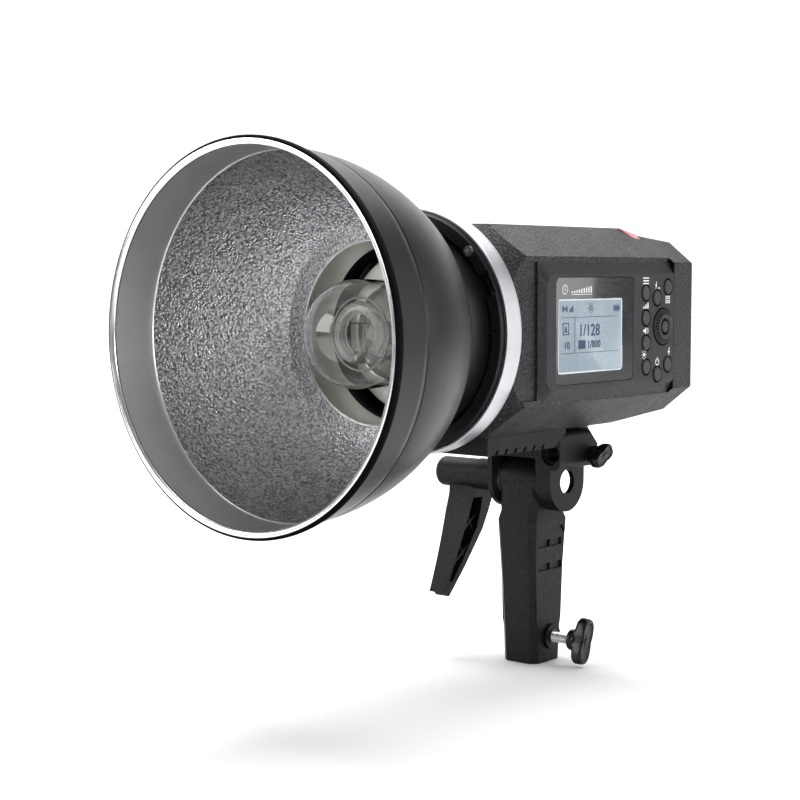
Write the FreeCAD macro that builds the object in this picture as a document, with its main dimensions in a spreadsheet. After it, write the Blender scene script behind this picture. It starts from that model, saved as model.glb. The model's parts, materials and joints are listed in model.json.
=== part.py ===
"""Battery monolight strobe with a dish reflector, a control panel and a tilting grip bracket.

Row frame: origin at the mouth of the stand socket, +Z up, the flash fires towards -Y and the
control panel faces +X. All sizes are millimetres.
"""
import FreeCAD, Part
import Sketcher
import math
import os
import re

DOC = FreeCAD.newDocument("monolight_strobe")
SHEET = DOC.addObject("Spreadsheet::Sheet", "Sizes")
NODES = []

DIMENSIONS = {
    # heights above the stand socket mouth
    "axis_height": 187.5, "pivot_height": 102.5,
    # casing: an eight-sided prism along Y, drawn about the lamp axis
    "casing_side": 58.5, "panel_side": 62.0, "facet_half": 38.0,
    "top_flat": 54.6, "bottom_flat": -53.0, "side_top": 35.6, "side_bottom": -34.0,
    "casing_front": -98.5, "seam": 47.8, "rear_face": 69.2,
    "top_slope_start": 25.0, "step_foot": 39.5, "step_height": 50.6, "rear_top": 47.2,
    "bottom_slope_start": 21.0, "rear_bottom": -47.7,
    # red sensor window, across the step of the roof
    "sensor_left": -33.0, "sensor_right": 36.0, "sensor_margin": 1.0, "sensor_depth": 2.2,
    "sensor_proud": 0.4,
    "wall": 2.5, "front_wall": 6.0, "lamp_opening": 50.5, "inset_depth": 1.2, "inset_end": -79.2,
    "gap": 0.3, "hair": 0.1,
    "nose_radius": 62.4, "nose_rise": 18.0, "nose_length": 24.0,
    # height of a quarter circle's arc above its chord, per unit of radius
    "quarter_bulge": 0.2928932188134525,
    # control panel block and what sits in it
    "panel_start": -79.0, "panel_top_start": -76.0, "panel_low": -35.4, "panel_high": 35.6,
    "panel_face_low": -29.2, "panel_face_high": 29.4, "panel_corner": 7.0,
    "window_front": -67.4, "window_back": 5.8, "window_low": -27.2, "window_high": 28.0,
    "window_depth": 1.4, "screen_front": -64.9, "screen_back": -5.3, "screen_low": -21.1,
    "screen_high": 16.4, "board_plane": 49.0, "board_thick": 1.6,
    "button_radius": 4.6, "button_rise": 62.7, "button_travel": 0.8,
    "dial_y": 36.2, "dial_z": 0.5, "dial_radius": 10.2, "dial_rise": 64.2, "dial_bore": 4.6,
    # speedring mount
    "ring_radius": 63.0, "ring_front": -110.5, "plate_radius": 61.2, "plate_front": -112.5,
    "plate_back": -108.6, "plate_bore": 54.7, "notch_radius": 60.6, "notch_width": 12.0,
    "lug_start": 25.5, "lug_turn": 25.0,
    # reflector
    "rim_radius": 92.2, "rim_front": -229.0, "bowl_seam": -203.5, "bowl_radius": 88.0,
    "bowl_wall": 1.2, "bowl_mid_y": -162.0, "bowl_mid_r": 77.5, "bowl_foot_y": -137.0,
    "bowl_foot_r": 59.5, "throat_radius": 45.5, "collar_radius": 52.8, "collar_foot": -129.5,
    "lug_back": -104.6, "lug_front": -108.2,
    # lamp
    "dome_radius": 27.0, "dome_centre": -148.5, "dome_back": -113.4, "glass_wall": 1.6,
    "tube_radius": 3.4, "tube_ring": 13.0, "tube_y": -147.0, "base_front": -113.0,
    "base_back": -104.0, "base_radius": 30.0,
    # handle
    "grip_foot_x": 11.5, "grip_foot_y": 12.9, "grip_top_x": 13.0, "grip_top_y": 18.0,
    "grip_mid_x": 12.2, "grip_mid_y": 15.2, "grip_mid": 40.0, "grip_top": 80.0,
    "grip_corner": 3.6, "grip_back": 0.8,
    "neck_low": -13.0, "neck_high": 12.0, "neck_depth": 13.5, "barrel_radius": 13.5,
    "socket_radius": 8.05, "socket_length": 60.0, "sleeve_radius": 9.6,
    "clamp_height": 14.0, "clamp_y": 2.6, "clamp_shank": 3.0, "boss_radius": 7.0, "insert_radius": 4.3,
    "boss_face": 13.7, "neck_corner": 2.6, "knob_start": 25.5, "knob_end": 36.5,
    # tilt joint
    "far_ear_in": -15.5, "far_ear_out": -18.5, "ear_radius": 16.6, "near_ear_in": 14.6,
    "near_ear_web": 21.0, "near_ear_out": 24.0, "eye_radius": 6.8, "bolt_radius": 4.0,
    # yoke block, skirt and umbrella holder
    "yoke_front": -17.5, "yoke_rear": 29.0, "yoke_low": 116.4, "yoke_high": 131.7,
    "yoke_chamfer": 9.0, "holder_rear": 19.5,
    "yoke_side": 31.0, "holder_low": 110.4, "umbrella_x": 24.6, "umbrella_z": 118.8,
    "umbrella_radius": 4.25, "umbrella_screw_y": 11.5, "umbrella_screw_z": 117.0,
    "skirt_front": -91.5, "skirt_low": 124.8, "skirt_high": 134.4, "skirt_side": 37.0,
    "skirt_rear": -32.0, "skirt_rear_top": -21.0, "flange_side": 25.0, "flange_rear": 20.0,
    "flange_thick": 2.4,
    # tilt lever
    "lever_far": -54.4, "lever_near": -38.4, "hub_far": -63.0, "hub_near": -36.0,
    "hub_radius": 8.6,
    # battery, on the side away from the panel
    "pack_front": -66.0, "pack_back": 26.0, "pack_low": -31.0, "pack_high": 31.0,
    "pack_depth": 34.0, "pack_face": 62.0,
    # cooling fan
    "fan_y": 30.0, "fan_radius": 22.0,
}


def fill_sheet():
    for row, (alias, size) in enumerate(DIMENSIONS.items(), 1):
        SHEET.set(f"A{row}", alias)
        SHEET.set(f"B{row}", str(size))
        SHEET.setAlias(f"B{row}", alias)
    DOC.recompute()


def linked(formula):
    """The same formula with every alias pointing into the sheet."""
    return re.sub(r"[a-z_]+[a-z0-9_]*(?!\()", lambda m: "Sizes." + m.group(0)
                  if m.group(0) in DIMENSIONS else m.group(0), str(formula))


def value(formula):
    return float(SHEET.evalExpression(str(formula)))


def bind(item, field, formula):
    item.setExpression(field, linked(formula))


# ---- sketches ------------------------------------------------------------------------------

def pin_point(sketch, edge, end, across, up):
    """Holds one end of an edge (or a circle's centre) at a place given by two formulas."""
    for kind, formula in (("DistanceX", across), ("DistanceY", up)):
        size = value(formula)
        index = sketch.addConstraint(Sketcher.Constraint(kind, -1, 1, edge, end, size))
        bind(sketch, f"Constraints[{index}]", formula)


def disc(radius, across="0", up="0"):
    def draw(sketch):
        centre = FreeCAD.Vector(value(across), value(up), 0)
        circle = Part.Circle(centre, FreeCAD.Vector(0, 0, 1), value(radius))
        edge = sketch.addGeometry(circle, False)
        index = sketch.addConstraint(Sketcher.Constraint("Radius", edge, value(radius)))
        bind(sketch, f"Constraints[{index}]", radius)
        pin_point(sketch, edge, 3, across, up)
    return draw


def outline(corners):
    """A closed outline. A corner is (across, up), or (across, up, bulge) when the edge that
    leaves it is an arc whose middle stands `bulge` to the left of the straight line."""
    def draw(sketch):
        points = [FreeCAD.Vector(value(c[0]), value(c[1]), 0) for c in corners]
        first = sketch.GeometryCount
        for index, corner in enumerate(corners):
            start = points[index]
            end = points[(index + 1) % len(points)]
            if len(corner) == 2:
                sketch.addGeometry(Part.LineSegment(start, end), False)
                sketch_ends(sketch, first + index, corners, index, 1, 2)
            else:
                chord = end - start
                side = FreeCAD.Vector(-chord.y, chord.x, 0).normalize()
                rise = value(corner[2])
                middle = (start + end) * 0.5 + side * rise
                ends = (2, 1) if rise > 0 else (1, 2)
                first_end, last_end = (end, start) if rise > 0 else (start, end)
                edge = sketch.addGeometry(Part.Arc(first_end, middle, last_end), False)
                sketch_ends(sketch, edge, corners, index, *ends)
                half = f"({chord.Length / 2})"
                radius = f"({half} * {half} + ({corner[2]}) * ({corner[2]})) / (2 * abs({corner[2]}))"
                limit = sketch.addConstraint(Sketcher.Constraint("Radius", edge, value(radius)))
                bind(sketch, f"Constraints[{limit}]", radius)
    return draw


def sketch_ends(sketch, edge, corners, index, first, last):
    following = corners[(index + 1) % len(corners)]
    pin_point(sketch, edge, first, corners[index][0], corners[index][1])
    pin_point(sketch, edge, last, following[0], following[1])


def box(left, low, right, high):
    return outline([(left, low), (right, low), (right, high), (left, high)])


def rounded(left, low, right, high, corner):
    """A rectangle with four round corners."""
    bulge = f"(0 - {corner}) * quarter_bulge"
    return outline([
        (f"{left} + {corner}", low), (f"{right} - {corner}", low, bulge),
        (right, f"{low} + {corner}"), (right, f"{high} - {corner}", bulge),
        (f"{right} - {corner}", high), (f"{left} + {corner}", high, bulge),
        (left, f"{high} - {corner}"), (left, f"{low} + {corner}", bulge)])


# ---- bodies and features -------------------------------------------------------------------

def start_body(label, height="0"):
    body = DOC.addObject("PartDesign::Body", label)
    body.Label = label
    bind(body, ".Placement.Base.z", height)
    NODES.append(body)
    return body


def new_sketch(body, role, place, shapes):
    name = f"{body.Label}_sketch_{len(body.Group)}"
    sketch = body.newObject("Sketcher::SketchObject", name)
    plane = next(f for f in body.Origin.OriginFeatures if f.Role == role)
    sketch.AttachmentSupport = [(plane, "")]
    sketch.MapMode = "FlatFace"
    sign = "0 - " if role == "XZ_Plane" else "0 + "
    bind(sketch, ".AttachmentOffset.Base.z", f"{sign}({place})")
    for draw in shapes:
        draw(sketch)
    return sketch


PLANES = {"X": "YZ_Plane", "Y": "XZ_Plane", "Z": "XY_Plane"}


def extrude(kind, body, axis, start, stop, shapes):
    """Adds or cuts a prism that runs along a world axis from `start` to `stop`."""
    sketch = new_sketch(body, PLANES[axis], start, shapes)
    feature = body.newObject(f"PartDesign::{kind}", f"{body.Label}_{kind}_{len(body.Group)}")
    feature.Profile = sketch
    feature.Type = 0
    bind(feature, "Length", f"({stop}) - ({start})")
    feature.Reversed = (kind == "Pad") == (axis == "Y")
    sketch.recompute()
    feature.recompute()
    return feature


def add(body, axis, start, stop, *shapes):
    return extrude("Pad", body, axis, start, stop, shapes)


def cut(body, axis, start, stop, *shapes):
    """Cuts a prism and makes sure that it removed something."""
    before = body.Tip.Shape.Volume
    feature = extrude("Pocket", body, axis, start, stop, shapes)
    if feature.Shape.Volume > before - 1e-3:
        raise SystemExit(f"{feature.Name} cuts nothing")
    return feature


def turn(kind, body, role, line, *shapes):
    """Adds or cuts a full turn of a profile about a line of its own sketch."""
    sketch = new_sketch(body, role, "0", shapes)
    feature = body.newObject(f"PartDesign::{kind}", f"{body.Label}_{kind}_{len(body.Group)}")
    feature.Profile = sketch
    feature.ReferenceAxis = (sketch, [line])
    feature.Angle = 360
    sketch.recompute()
    feature.recompute()
    return feature


def spin_y(body, *shapes):
    return turn("Revolution", body, "YZ_Plane", "H_Axis", *shapes)


def loft(body, axis, stations):
    """A ruled loft through outlines at successive places along an axis."""
    sketches = [new_sketch(body, PLANES[axis], place, [shape]) for place, shape in stations]
    feature = body.newObject("PartDesign::AdditiveLoft", f"{body.Label}_loft_{len(body.Group)}")
    feature.Profile = sketches[0]
    feature.Sections = sketches[1:]
    feature.Ruled = True
    for item in sketches + [feature]:
        item.recompute()
    return feature


def edges_where(shape, test):
    return [f"Edge{i}" for i, edge in enumerate(shape.Edges, 1) if test(edge)]


def soften(body, radius, test, kind="Fillet"):
    """Rounds the edges of a body that pass a test on their geometry."""
    base = body.Tip
    names = edges_where(base.Shape, test)
    if not names:
        raise SystemExit(f"{body.Label}: no edge to round")
    feature = body.newObject(f"PartDesign::{kind}", f"{body.Label}_{kind}_{len(body.Group)}")
    feature.Base = (base, names)
    bind(feature, "Radius" if kind == "Fillet" else "Size", radius)
    feature.recompute()
    if not feature.Shape.isValid():
        raise SystemExit(f"{feature.Name} is not valid")
    return feature


def along(axis):
    """A test for straight edges that run along a world axis."""
    number = "XYZ".index(axis)

    def test(edge):
        if edge.Curve.TypeId != "Part::GeomLine":
            return False
        return abs(abs(edge.Curve.Direction[number]) - 1) < 1e-6
    return test


def at_place(axis, place):
    """A test for edges that lie wholly at one place along a world axis."""
    number = "XYZ".index(axis)

    def test(edge):
        box_ = edge.BoundBox
        low = (box_.XMin, box_.YMin, box_.ZMin)[number]
        high = (box_.XMax, box_.YMax, box_.ZMax)[number]
        return abs(low - value(place)) < 1e-3 and abs(high - value(place)) < 1e-3
    return test


# ---- primitives ----------------------------------------------------------------------------

AIM = {"X": FreeCAD.Rotation(FreeCAD.Vector(0, 1, 0), 90),
       "Y": FreeCAD.Rotation(FreeCAD.Vector(1, 0, 0), -90),
       "Z": FreeCAD.Rotation()}


def put(item, x, y, z):
    for field, formula in (("x", x), ("y", y), ("z", z)):
        bind(item, f".Placement.Base.{field}", formula)
    return item


def rod(name, axis, radius, length, x, y, z):
    item = DOC.addObject("Part::Cylinder", name)
    bind(item, "Radius", radius)
    bind(item, "Height", length)
    item.Placement = FreeCAD.Placement(FreeCAD.Vector(), AIM[axis])
    return put(item, x, y, z)


def block(name, length, width, height, x, y, z):
    item = DOC.addObject("Part::Box", name)
    bind(item, "Length", length)
    bind(item, "Width", width)
    bind(item, "Height", height)
    return put(item, x, y, z)


def take_away(name, base, *tools):
    item = DOC.addObject("Part::Cut", name)
    item.Base = base
    item.Tool = tools[0] if len(tools) == 1 else join(f"{name}_tools", *tools)
    return item


def join(name, *items):
    item = DOC.addObject("Part::MultiFuse", name)
    item.Shapes = list(items)
    return item


def group(name, items):
    item = DOC.addObject("Part::Compound", name)
    item.Links = items
    return item


def node(label, item):
    item.Label = label
    NODES.append(item)
    return item


def around(radius, degrees):
    """The X and Z formulas of a place on a circle about the lamp axis."""
    x = f"({radius}) * {math.cos(math.radians(degrees))}"
    z = f"({radius}) * {math.sin(math.radians(degrees))}"
    return x, z


# ---- casing --------------------------------------------------------------------------------

SLOPE = "((top_flat - side_top) / (panel_side - facet_half))"
STRETCH = "1.2755"


def octagon(side, top, bottom, inset="0"):
    """The casing's section: upright sides, flat top and bottom, and four sloping facets."""
    half = f"({side} - {inset})"
    high = f"(side_top + (panel_side - {half}) * {SLOPE} - {inset} * {STRETCH})"
    low = f"(side_bottom - (panel_side - {half}) * {SLOPE} + {inset} * {STRETCH})"
    top_half = f"(panel_side - ({top} + {inset} * {STRETCH} - side_top) / {SLOPE})"
    bottom_half = f"(panel_side - (side_bottom + {inset} * {STRETCH} - ({bottom})) / {SLOPE})"
    return outline([
        (half, low), (half, high), (top_half, top), (f"0 - {top_half}", top),
        (f"0 - {half}", high), (f"0 - {half}", low),
        (f"0 - {bottom_half}", bottom), (bottom_half, bottom)])


def slope_ends(body):
    """Steps the roof down and closes the top and the underside in towards the rear face."""
    cut(body, "X", "0 - panel_side - 1", "panel_side + 1", outline([
        ("top_slope_start", "top_flat"), ("step_foot", "step_height"), ("rear_face", "rear_top"),
        ("rear_face + 1", "rear_top"), ("rear_face + 1", "top_flat + 1"),
        ("top_slope_start", "top_flat + 1")]))
    cut(body, "X", "0 - panel_side - 1", "panel_side + 1", outline([
        ("bottom_slope_start", "bottom_flat"), ("rear_face", "rear_bottom"),
        ("rear_face + 1", "rear_bottom"), ("rear_face + 1", "bottom_flat - 1"),
        ("bottom_slope_start", "bottom_flat - 1")]))


def main_casing():
    body = start_body("main_casing", "axis_height")
    add(body, "Y", "casing_front", "seam", octagon("casing_side", "top_flat", "bottom_flat"))
    slope_ends(body)
    cut(body, "Y", "casing_front + front_wall", "10",
        octagon("casing_side", "top_flat - wall", "bottom_flat + wall", "wall"))
    cut(body, "Y", "9", "seam", octagon("casing_side", "rear_top - 1", "rear_bottom - 0.6", "wall"))
    cut(body, "Y", "casing_front", "casing_front + front_wall + 1", disc("lamp_opening"))
    cut(body, "X", "casing_side - wall - 1", "casing_side",
        rounded("0 - 66", "0 - 31.5", "seam + 4", "29", "3"))
    cut(body, "X", "0 - casing_side", "0 - casing_side + wall + 1",
        box("pack_front - gap", "pack_low - gap", "pack_back + gap", "pack_high + gap"))
    cut(body, "X", "casing_side - inset_depth", "casing_side",
        box("casing_front", "side_bottom", "inset_end", "side_top"))
    cut(body, "Z", "rear_top - 2", "top_flat", box(
        "sensor_left", "top_slope_start + sensor_margin", "sensor_right",
        "step_foot - sensor_margin"))
    cut(body, "Z", "bottom_flat", "bottom_flat + wall + 1", *screw_holes())
    turn("Groove", body, "YZ_Plane", "H_Axis", outline([
        ("casing_front", "nose_radius"), ("casing_front", "nose_radius + nose_rise"),
        ("casing_front + nose_length", "nose_radius + nose_rise")]))
    return body


def rear_cover():
    body = start_body("rear_cover", "axis_height")
    add(body, "Y", "seam + hair", "rear_face", octagon("panel_side", "top_flat", "bottom_flat"))
    slope_ends(body)
    soften(body, "2.5", at_place("Y", "rear_face"))
    cut(body, "Y", "seam", "rear_face - wall",
        octagon("panel_side", "rear_top - wall", "rear_bottom + wall", "wall"))
    slots = [box("0 - 26", f"{8 + 5 * row}", "26", f"{10.4 + 5 * row}") for row in range(6)]
    cut(body, "Y", "rear_face - wall - 1", "rear_face", *slots)
    cut(body, "Y", "rear_face - wall - 1", "rear_face", rounded("0 - 27", "0 - 34", "27", "0 - 10", "3"))
    return body


def sensor_window():
    """The red cover of the slave sensor, a slanted bar let into the step of the roof."""
    body = start_body("sensor_window", "axis_height")
    fall = "((top_flat - step_height) / (step_foot - top_slope_start))"
    front = "(top_slope_start + sensor_margin + gap)"
    back = "(step_foot - sensor_margin - gap)"
    high = f"(top_flat + sensor_proud - ({front} - top_slope_start) * {fall})"
    low = f"(top_flat + sensor_proud - ({back} - top_slope_start) * {fall})"
    add(body, "X", "sensor_left + gap", "sensor_right - gap", outline([
        (front, f"{high} - sensor_depth"), (back, f"{low} - sensor_depth"), (back, low),
        (front, high)]))
    return body


def rear_port_panel():
    """Inset panel with a sync jack, a release jack and a data socket mounted behind it."""
    body = DOC.addObject("PartDesign::Body", "port_plate")
    bind(body, ".Placement.Base.z", "axis_height")
    add(body, "Y", "rear_face - wall - 2", "rear_face - 0.8",
        rounded("0 - 27 + hair", "0 - 34 + hair", "27 - hair", "0 - 10 - hair", "3"))
    cut(body, "Y", "rear_face - wall - 2", "rear_face", disc("3.4", "0 - 17", "0 - 17"),
        disc("3.0", "0 - 5", "0 - 17"), box("4", "0 - 20.4", "13", "0 - 13.6"),
        box("0 - 21", "0 - 30", "0 - 3", "0 - 26"))
    jack_place = "rear_face - wall - 2.1"
    shells = []
    for index, (x, outer, inner) in enumerate((("0 - 17", "3.3", "1.8"), ("0 - 5", "2.9", "1.3"))):
        barrel = rod(f"jack_{index}", "Y", outer, "3.6", x, jack_place, "axis_height - 17")
        hole = rod(f"jack_hole_{index}", "Y", inner, "3.7", x, jack_place, "axis_height - 17")
        shells.append(take_away(f"jack_shell_{index}", barrel, hole))
    shell = block("data_shell", "8.6", "3.6", "6.4", "4.2", jack_place, "axis_height - 20.2")
    mouth = block("data_mouth", "7.4", "3.7", "5.2", "4.8", jack_place, "axis_height - 19.6")
    shells.append(take_away("data_socket", shell, mouth))
    node("port_panel", group("port_panel", [body] + shells))


def power_switch():
    """Slide switch below the jacks; it travels 8 mm along X."""
    knob = block("switch_knob", "6", "3.4", "3.2", "0 - 20", "rear_face - wall - 1.6",
                 "axis_height - 29.6")
    node("power_switch", knob)


# ---- control panel -------------------------------------------------------------------------

def panel_outline(front, low, high):
    """A rectangle with its two front corners rounded; the rear edge ends at the seam."""
    bulge = "(0 - panel_corner) * quarter_bulge"
    return outline([
        (f"{front} + panel_corner", low), ("seam - hair", low), ("seam - hair", high),
        (f"{front} + panel_corner", high, bulge), (front, f"{high} - panel_corner"),
        (front, f"{low} + panel_corner", bulge)])


BUTTONS = (("18.2", "19.1"), ("18.5", "5.6"), ("18.8", "0 - 8"), ("19.1", "0 - 21"),
           ("29.8", "16.3"), ("41.3", "22.2"), ("30.7", "0 - 25.4"), ("41.6", "0 - 20.4"))


def control_panel():
    body = start_body("control_panel", "axis_height")
    loft(body, "X", [
        ("casing_side + hair", panel_outline("panel_start", "panel_low", "panel_high")),
        ("panel_side", panel_outline("panel_top_start", "panel_face_low", "panel_face_high"))])
    cut(body, "X", "panel_side - window_depth", "panel_side",
        rounded("window_front", "window_low", "window_back", "window_high", "3"))
    cut(body, "X", "casing_side", "panel_side - window_depth",
        box("screen_front", "screen_low", "screen_back", "screen_high"))
    holes = [disc("button_radius + gap", y, z) for y, z in BUTTONS]
    cut(body, "X", "casing_side", "panel_side", *holes)
    cut(body, "X", "casing_side", "panel_side", disc("dial_radius + gap", "dial_y", "dial_z"))
    return body


def window():
    body = start_body("window", "axis_height")
    add(body, "X", "panel_side - window_depth + hair", "panel_side - hair",
        rounded("window_front + hair", "window_low + hair", "window_back - hair",
                "window_high - hair", "3"))
    return body


def screen():
    node("lcd_module", block(
        "lcd_module", "panel_side - window_depth - hair - board_plane - board_thick - hair",
        "screen_back - screen_front - 2 * hair", "screen_high - screen_low - 2 * hair",
        "board_plane + board_thick + hair", "screen_front + hair",
        "axis_height + screen_low + hair"))


def display_board():
    """Circuit board with a push switch under each button and an encoder under the dial."""
    board = DOC.addObject("PartDesign::Body", "board_blank")
    bind(board, ".Placement.Base.z", "axis_height")
    add(board, "X", "board_plane", "board_plane + board_thick",
        rounded("0 - 66", "0 - 31", "46", "28.5", "2"))
    base = "board_plane + board_thick + hair"
    switches = [block(f"key_switch_{i}", "1.0", "5", "5", base, f"{y} - 2.5",
                      f"axis_height + {z} - 2.5") for i, (y, z) in enumerate(BUTTONS)]
    switches.append(rod("set_switch", "X", "2.4", "1.0", base, "dial_y", "axis_height + dial_z"))
    encoder = rod("encoder_base", "X", "9", "3.2", base, "dial_y", "axis_height + dial_z")
    bore = rod("encoder_bore", "X", "5.6", "3.4", "board_plane + board_thick", "dial_y",
               "axis_height + dial_z")
    switches.append(take_away("encoder_ring", encoder, bore))
    node("display_board", group("display_board", [board] + switches))


def button(label, y, z, radius, top):
    """A flanged push button; its flange stays behind the panel."""
    body = start_body(label, "axis_height")
    foot = "board_plane + board_thick + hair + 1.0 + button_travel + hair * 2"
    add(body, "X", foot, f"{top}", disc(radius, y, z))
    soften(body, "0.8", at_place("X", top))
    add(body, "X", foot, "casing_side - wall - 1", disc(f"{radius} + 0.5", y, z))
    return body


def dial():
    """Knurled setting ring with a hollow hub; the set button stands in its middle."""
    body = start_body("dial", "axis_height")
    add(body, "X", "casing_side - 1.6", "dial_rise", disc("dial_radius", "dial_y", "dial_z"))
    soften(body, "0.9", at_place("X", "dial_rise"))
    grooves = []
    for step in range(24):
        turn_angle = math.radians(15 * step)
        across = f"dial_y + dial_radius * {math.cos(turn_angle)}"
        up = f"dial_z + dial_radius * {math.sin(turn_angle)}"
        grooves.append(disc("0.55", across, up))
    cut(body, "X", "panel_side + 0.4", "dial_rise", *grooves)
    cut(body, "X", "dial_rise - 0.8", "dial_rise", disc("7.6", "dial_y", "dial_z"))
    cut(body, "X", "casing_side - 1.6", "dial_rise", disc("dial_bore", "dial_y", "dial_z"))
    return body


# ---- front mount ---------------------------------------------------------------------------

def mount_ring():
    body = start_body("mount_ring", "axis_height")
    spin_y(body, outline([
        ("ring_front", "plate_radius + 0.15"), ("ring_front", "ring_radius - 0.6"),
        ("ring_front + 0.6", "ring_radius"), ("casing_front - 0.6", "ring_radius"),
        ("casing_front - hair", "ring_radius - 0.5"), ("casing_front - hair", "lamp_opening + 2"),
        ("casing_front - 3.2", "lamp_opening + 2"), ("casing_front - 3.2", "plate_radius + 0.15")]))
    return body


def notched_ring(bore, depth, width, start):
    """A round hole with three square notches, as the outline of the mount's opening."""
    corners = []
    half = width / 2
    inner = math.asin(half / bore)
    outer = math.asin(half / depth)
    for step in range(3):
        centre = math.radians(start + 120 * step)
        for radius, angle in ((bore, -inner), (depth, -outer), (depth, outer), (bore, inner)):
            corners.append((radius, centre + angle))
    places = []
    for index, (radius, angle) in enumerate(corners):
        x = f"{radius * math.cos(angle)}"
        z = f"{radius * math.sin(angle)}"
        if index % 4 == 3:
            span = 2 * math.pi / 3 - 2 * inner
            places.append((x, z, f"{-radius * (1 - math.cos(span / 2))}"))
        else:
            places.append((x, z))
    return outline(places)


def bayonet_plate():
    body = start_body("bayonet_plate", "axis_height")
    add(body, "Y", "plate_front", "plate_back", disc("plate_radius"))
    soften(body, "1.0", at_place("Y", "plate_front"), "Chamfer")
    opening = notched_ring(value("plate_bore"), value("notch_radius"), value("notch_width"),
                           value("lug_start"))
    cut(body, "Y", "plate_front", "plate_back", opening)
    small = [disc("1.0", *around("56.6", angle)) for angle in (2, 122, 242)]
    cut(body, "Y", "plate_front", "plate_back", *small)
    screws = [disc("1.6", *around("57.6", angle)) for angle in (45, 165, 285)]
    cut(body, "Y", "plate_front", "plate_back", *screws)
    return body


def cross_screw(name, axis, head, head_height, shank, length, x, y, z):
    """Pan-head screw with a cross recess; the head stands at the given place."""
    top = rod(f"{name}_head", axis, head, head_height, x, y, z)
    spot = [x, y, z]
    number = "XYZ".index(axis)
    start = list(spot)
    start[number] = f"{spot[number]} + ({head_height})"
    stem = rod(f"{name}_stem", axis, shank, length, *start)
    mouth = f"{spot[number]} - 0.2"
    bars = []
    for turn_index, (wide, tall) in enumerate((("0.5", "2.4"), ("2.4", "0.5"))):
        sizes = [wide, tall]
        sizes.insert(number, "0.7")
        corner = [f"{spot[i]} - ({sizes[i]}) / 2" for i in range(3)]
        corner[number] = mouth
        bars.append(block(f"{name}_slot_{turn_index}", *sizes, *corner))
    return take_away(f"{name}_screw", join(f"{name}_solid", top, stem), *bars)


def bayonet_screws():
    screws = []
    for index, angle in enumerate((45, 165, 285)):
        x, z = around("57.6", angle)
        screws.append(cross_screw(f"bayonet_{index}", "Y", "2.6", "1.0", "1.5", "2.6", x,
                                  "plate_front - 1.0 - 0.05", f"axis_height + {z}"))
    node("bayonet_screws", group("bayonet_screws", screws))


def release_tab():
    """Spring-loaded mount release on the far side of the ring; it slides back."""
    body = start_body("release_tab", "axis_height")
    add(body, "Y", "casing_front + 1", "casing_front + 13",
        box("0 - casing_side - 4.4", "0 - 6", "0 - casing_side - gap", "6"))
    soften(body, "1.2", along("Y"))
    return body


# ---- reflector -----------------------------------------------------------------------------

def reflector_bowl():
    """Spun dish: a straight band by the rim, a deep curve, and a flat foot at the throat."""
    body = start_body("reflector_bowl", "axis_height")
    spin_y(body, outline([
        ("rim_front + 2", "bowl_radius + 2.2 - bowl_wall"), ("rim_front + 2", "bowl_radius + 2.2"),
        ("bowl_seam", "bowl_radius", "2.0"), ("bowl_mid_y", "bowl_mid_r", "1.9"),
        ("bowl_foot_y", "bowl_foot_r"), ("bowl_foot_y + bowl_wall", "bowl_foot_r - 1.5"),
        ("bowl_foot_y + bowl_wall", "throat_radius + bowl_wall"),
        ("bowl_foot_y", "throat_radius + bowl_wall"),
        ("bowl_foot_y", "bowl_foot_r - 2.6", "0 - 1.9"),
        ("bowl_mid_y - 0.6", "bowl_mid_r - bowl_wall", "0 - 2.0"),
        ("bowl_seam", "bowl_radius - bowl_wall")]))
    return body


def reflector_rim():
    body = start_body("reflector_rim", "axis_height")
    inner = "bowl_radius + 2.2 - bowl_wall - 1.2"
    spin_y(body, outline([
        ("rim_front", f"{inner} + 0.8"), ("rim_front", "rim_radius - 1.2", "0.4"),
        ("rim_front + 1.2", "rim_radius"), ("rim_front + 4", "rim_radius"),
        ("rim_front + 4", "bowl_radius + 2.3"), ("rim_front + 1.9", "bowl_radius + 2.3"),
        ("rim_front + 1.9", inner), ("rim_front + 0.8", inner)]))
    return body


def reflector_collar():
    """Black collar with three lugs that lock behind the notched plate."""
    body = start_body("reflector_collar", "axis_height")
    spin_y(body, outline([
        ("bowl_foot_y - 0.4", "throat_radius"), ("bowl_foot_y - 0.4", "throat_radius + 1.1"),
        ("bowl_foot_y + bowl_wall + hair", "throat_radius + 1.1"),
        ("bowl_foot_y + bowl_wall + hair", "bowl_foot_r - 1.2"),
        ("collar_foot - 2.4", "bowl_foot_r - 3"), ("collar_foot", "collar_radius"),
        ("lug_back", "collar_radius"), ("lug_back", "collar_radius - 3.4"),
        ("collar_foot + 2", "collar_radius - 3.4"), ("collar_foot + 2", "throat_radius + 1.1"),
        ("casing_front - 7", "throat_radius + 1.1"), ("casing_front - 7", "throat_radius")]))
    half = math.degrees(math.asin(5.4 / 56))
    for step in range(3):
        middle = value("lug_start") + value("lug_turn") + 120 * step
        corners = []
        for radius, angle in ((52.0, -half), (59.6, -half), (59.6, half), (52.0, half)):
            turn_angle = math.radians(middle + angle)
            corners.append((f"{radius * math.cos(turn_angle)}", f"{radius * math.sin(turn_angle)}"))
        add(body, "Y", "lug_front", "lug_back", outline(corners))
    return body


# ---- lamp ----------------------------------------------------------------------------------

def glass_dome():
    body = start_body("glass_dome", "axis_height")
    inner = "dome_radius - glass_wall"
    spin_y(body, outline([
        ("dome_centre - dome_radius", "0", "dome_radius * quarter_bulge"), ("dome_centre", "dome_radius"),
        ("dome_back", "dome_radius"), ("dome_back", inner),
        ("dome_centre", inner, f"0 - ({inner}) * quarter_bulge"), (f"dome_centre - ({inner})", "0")]))
    return body


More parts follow.
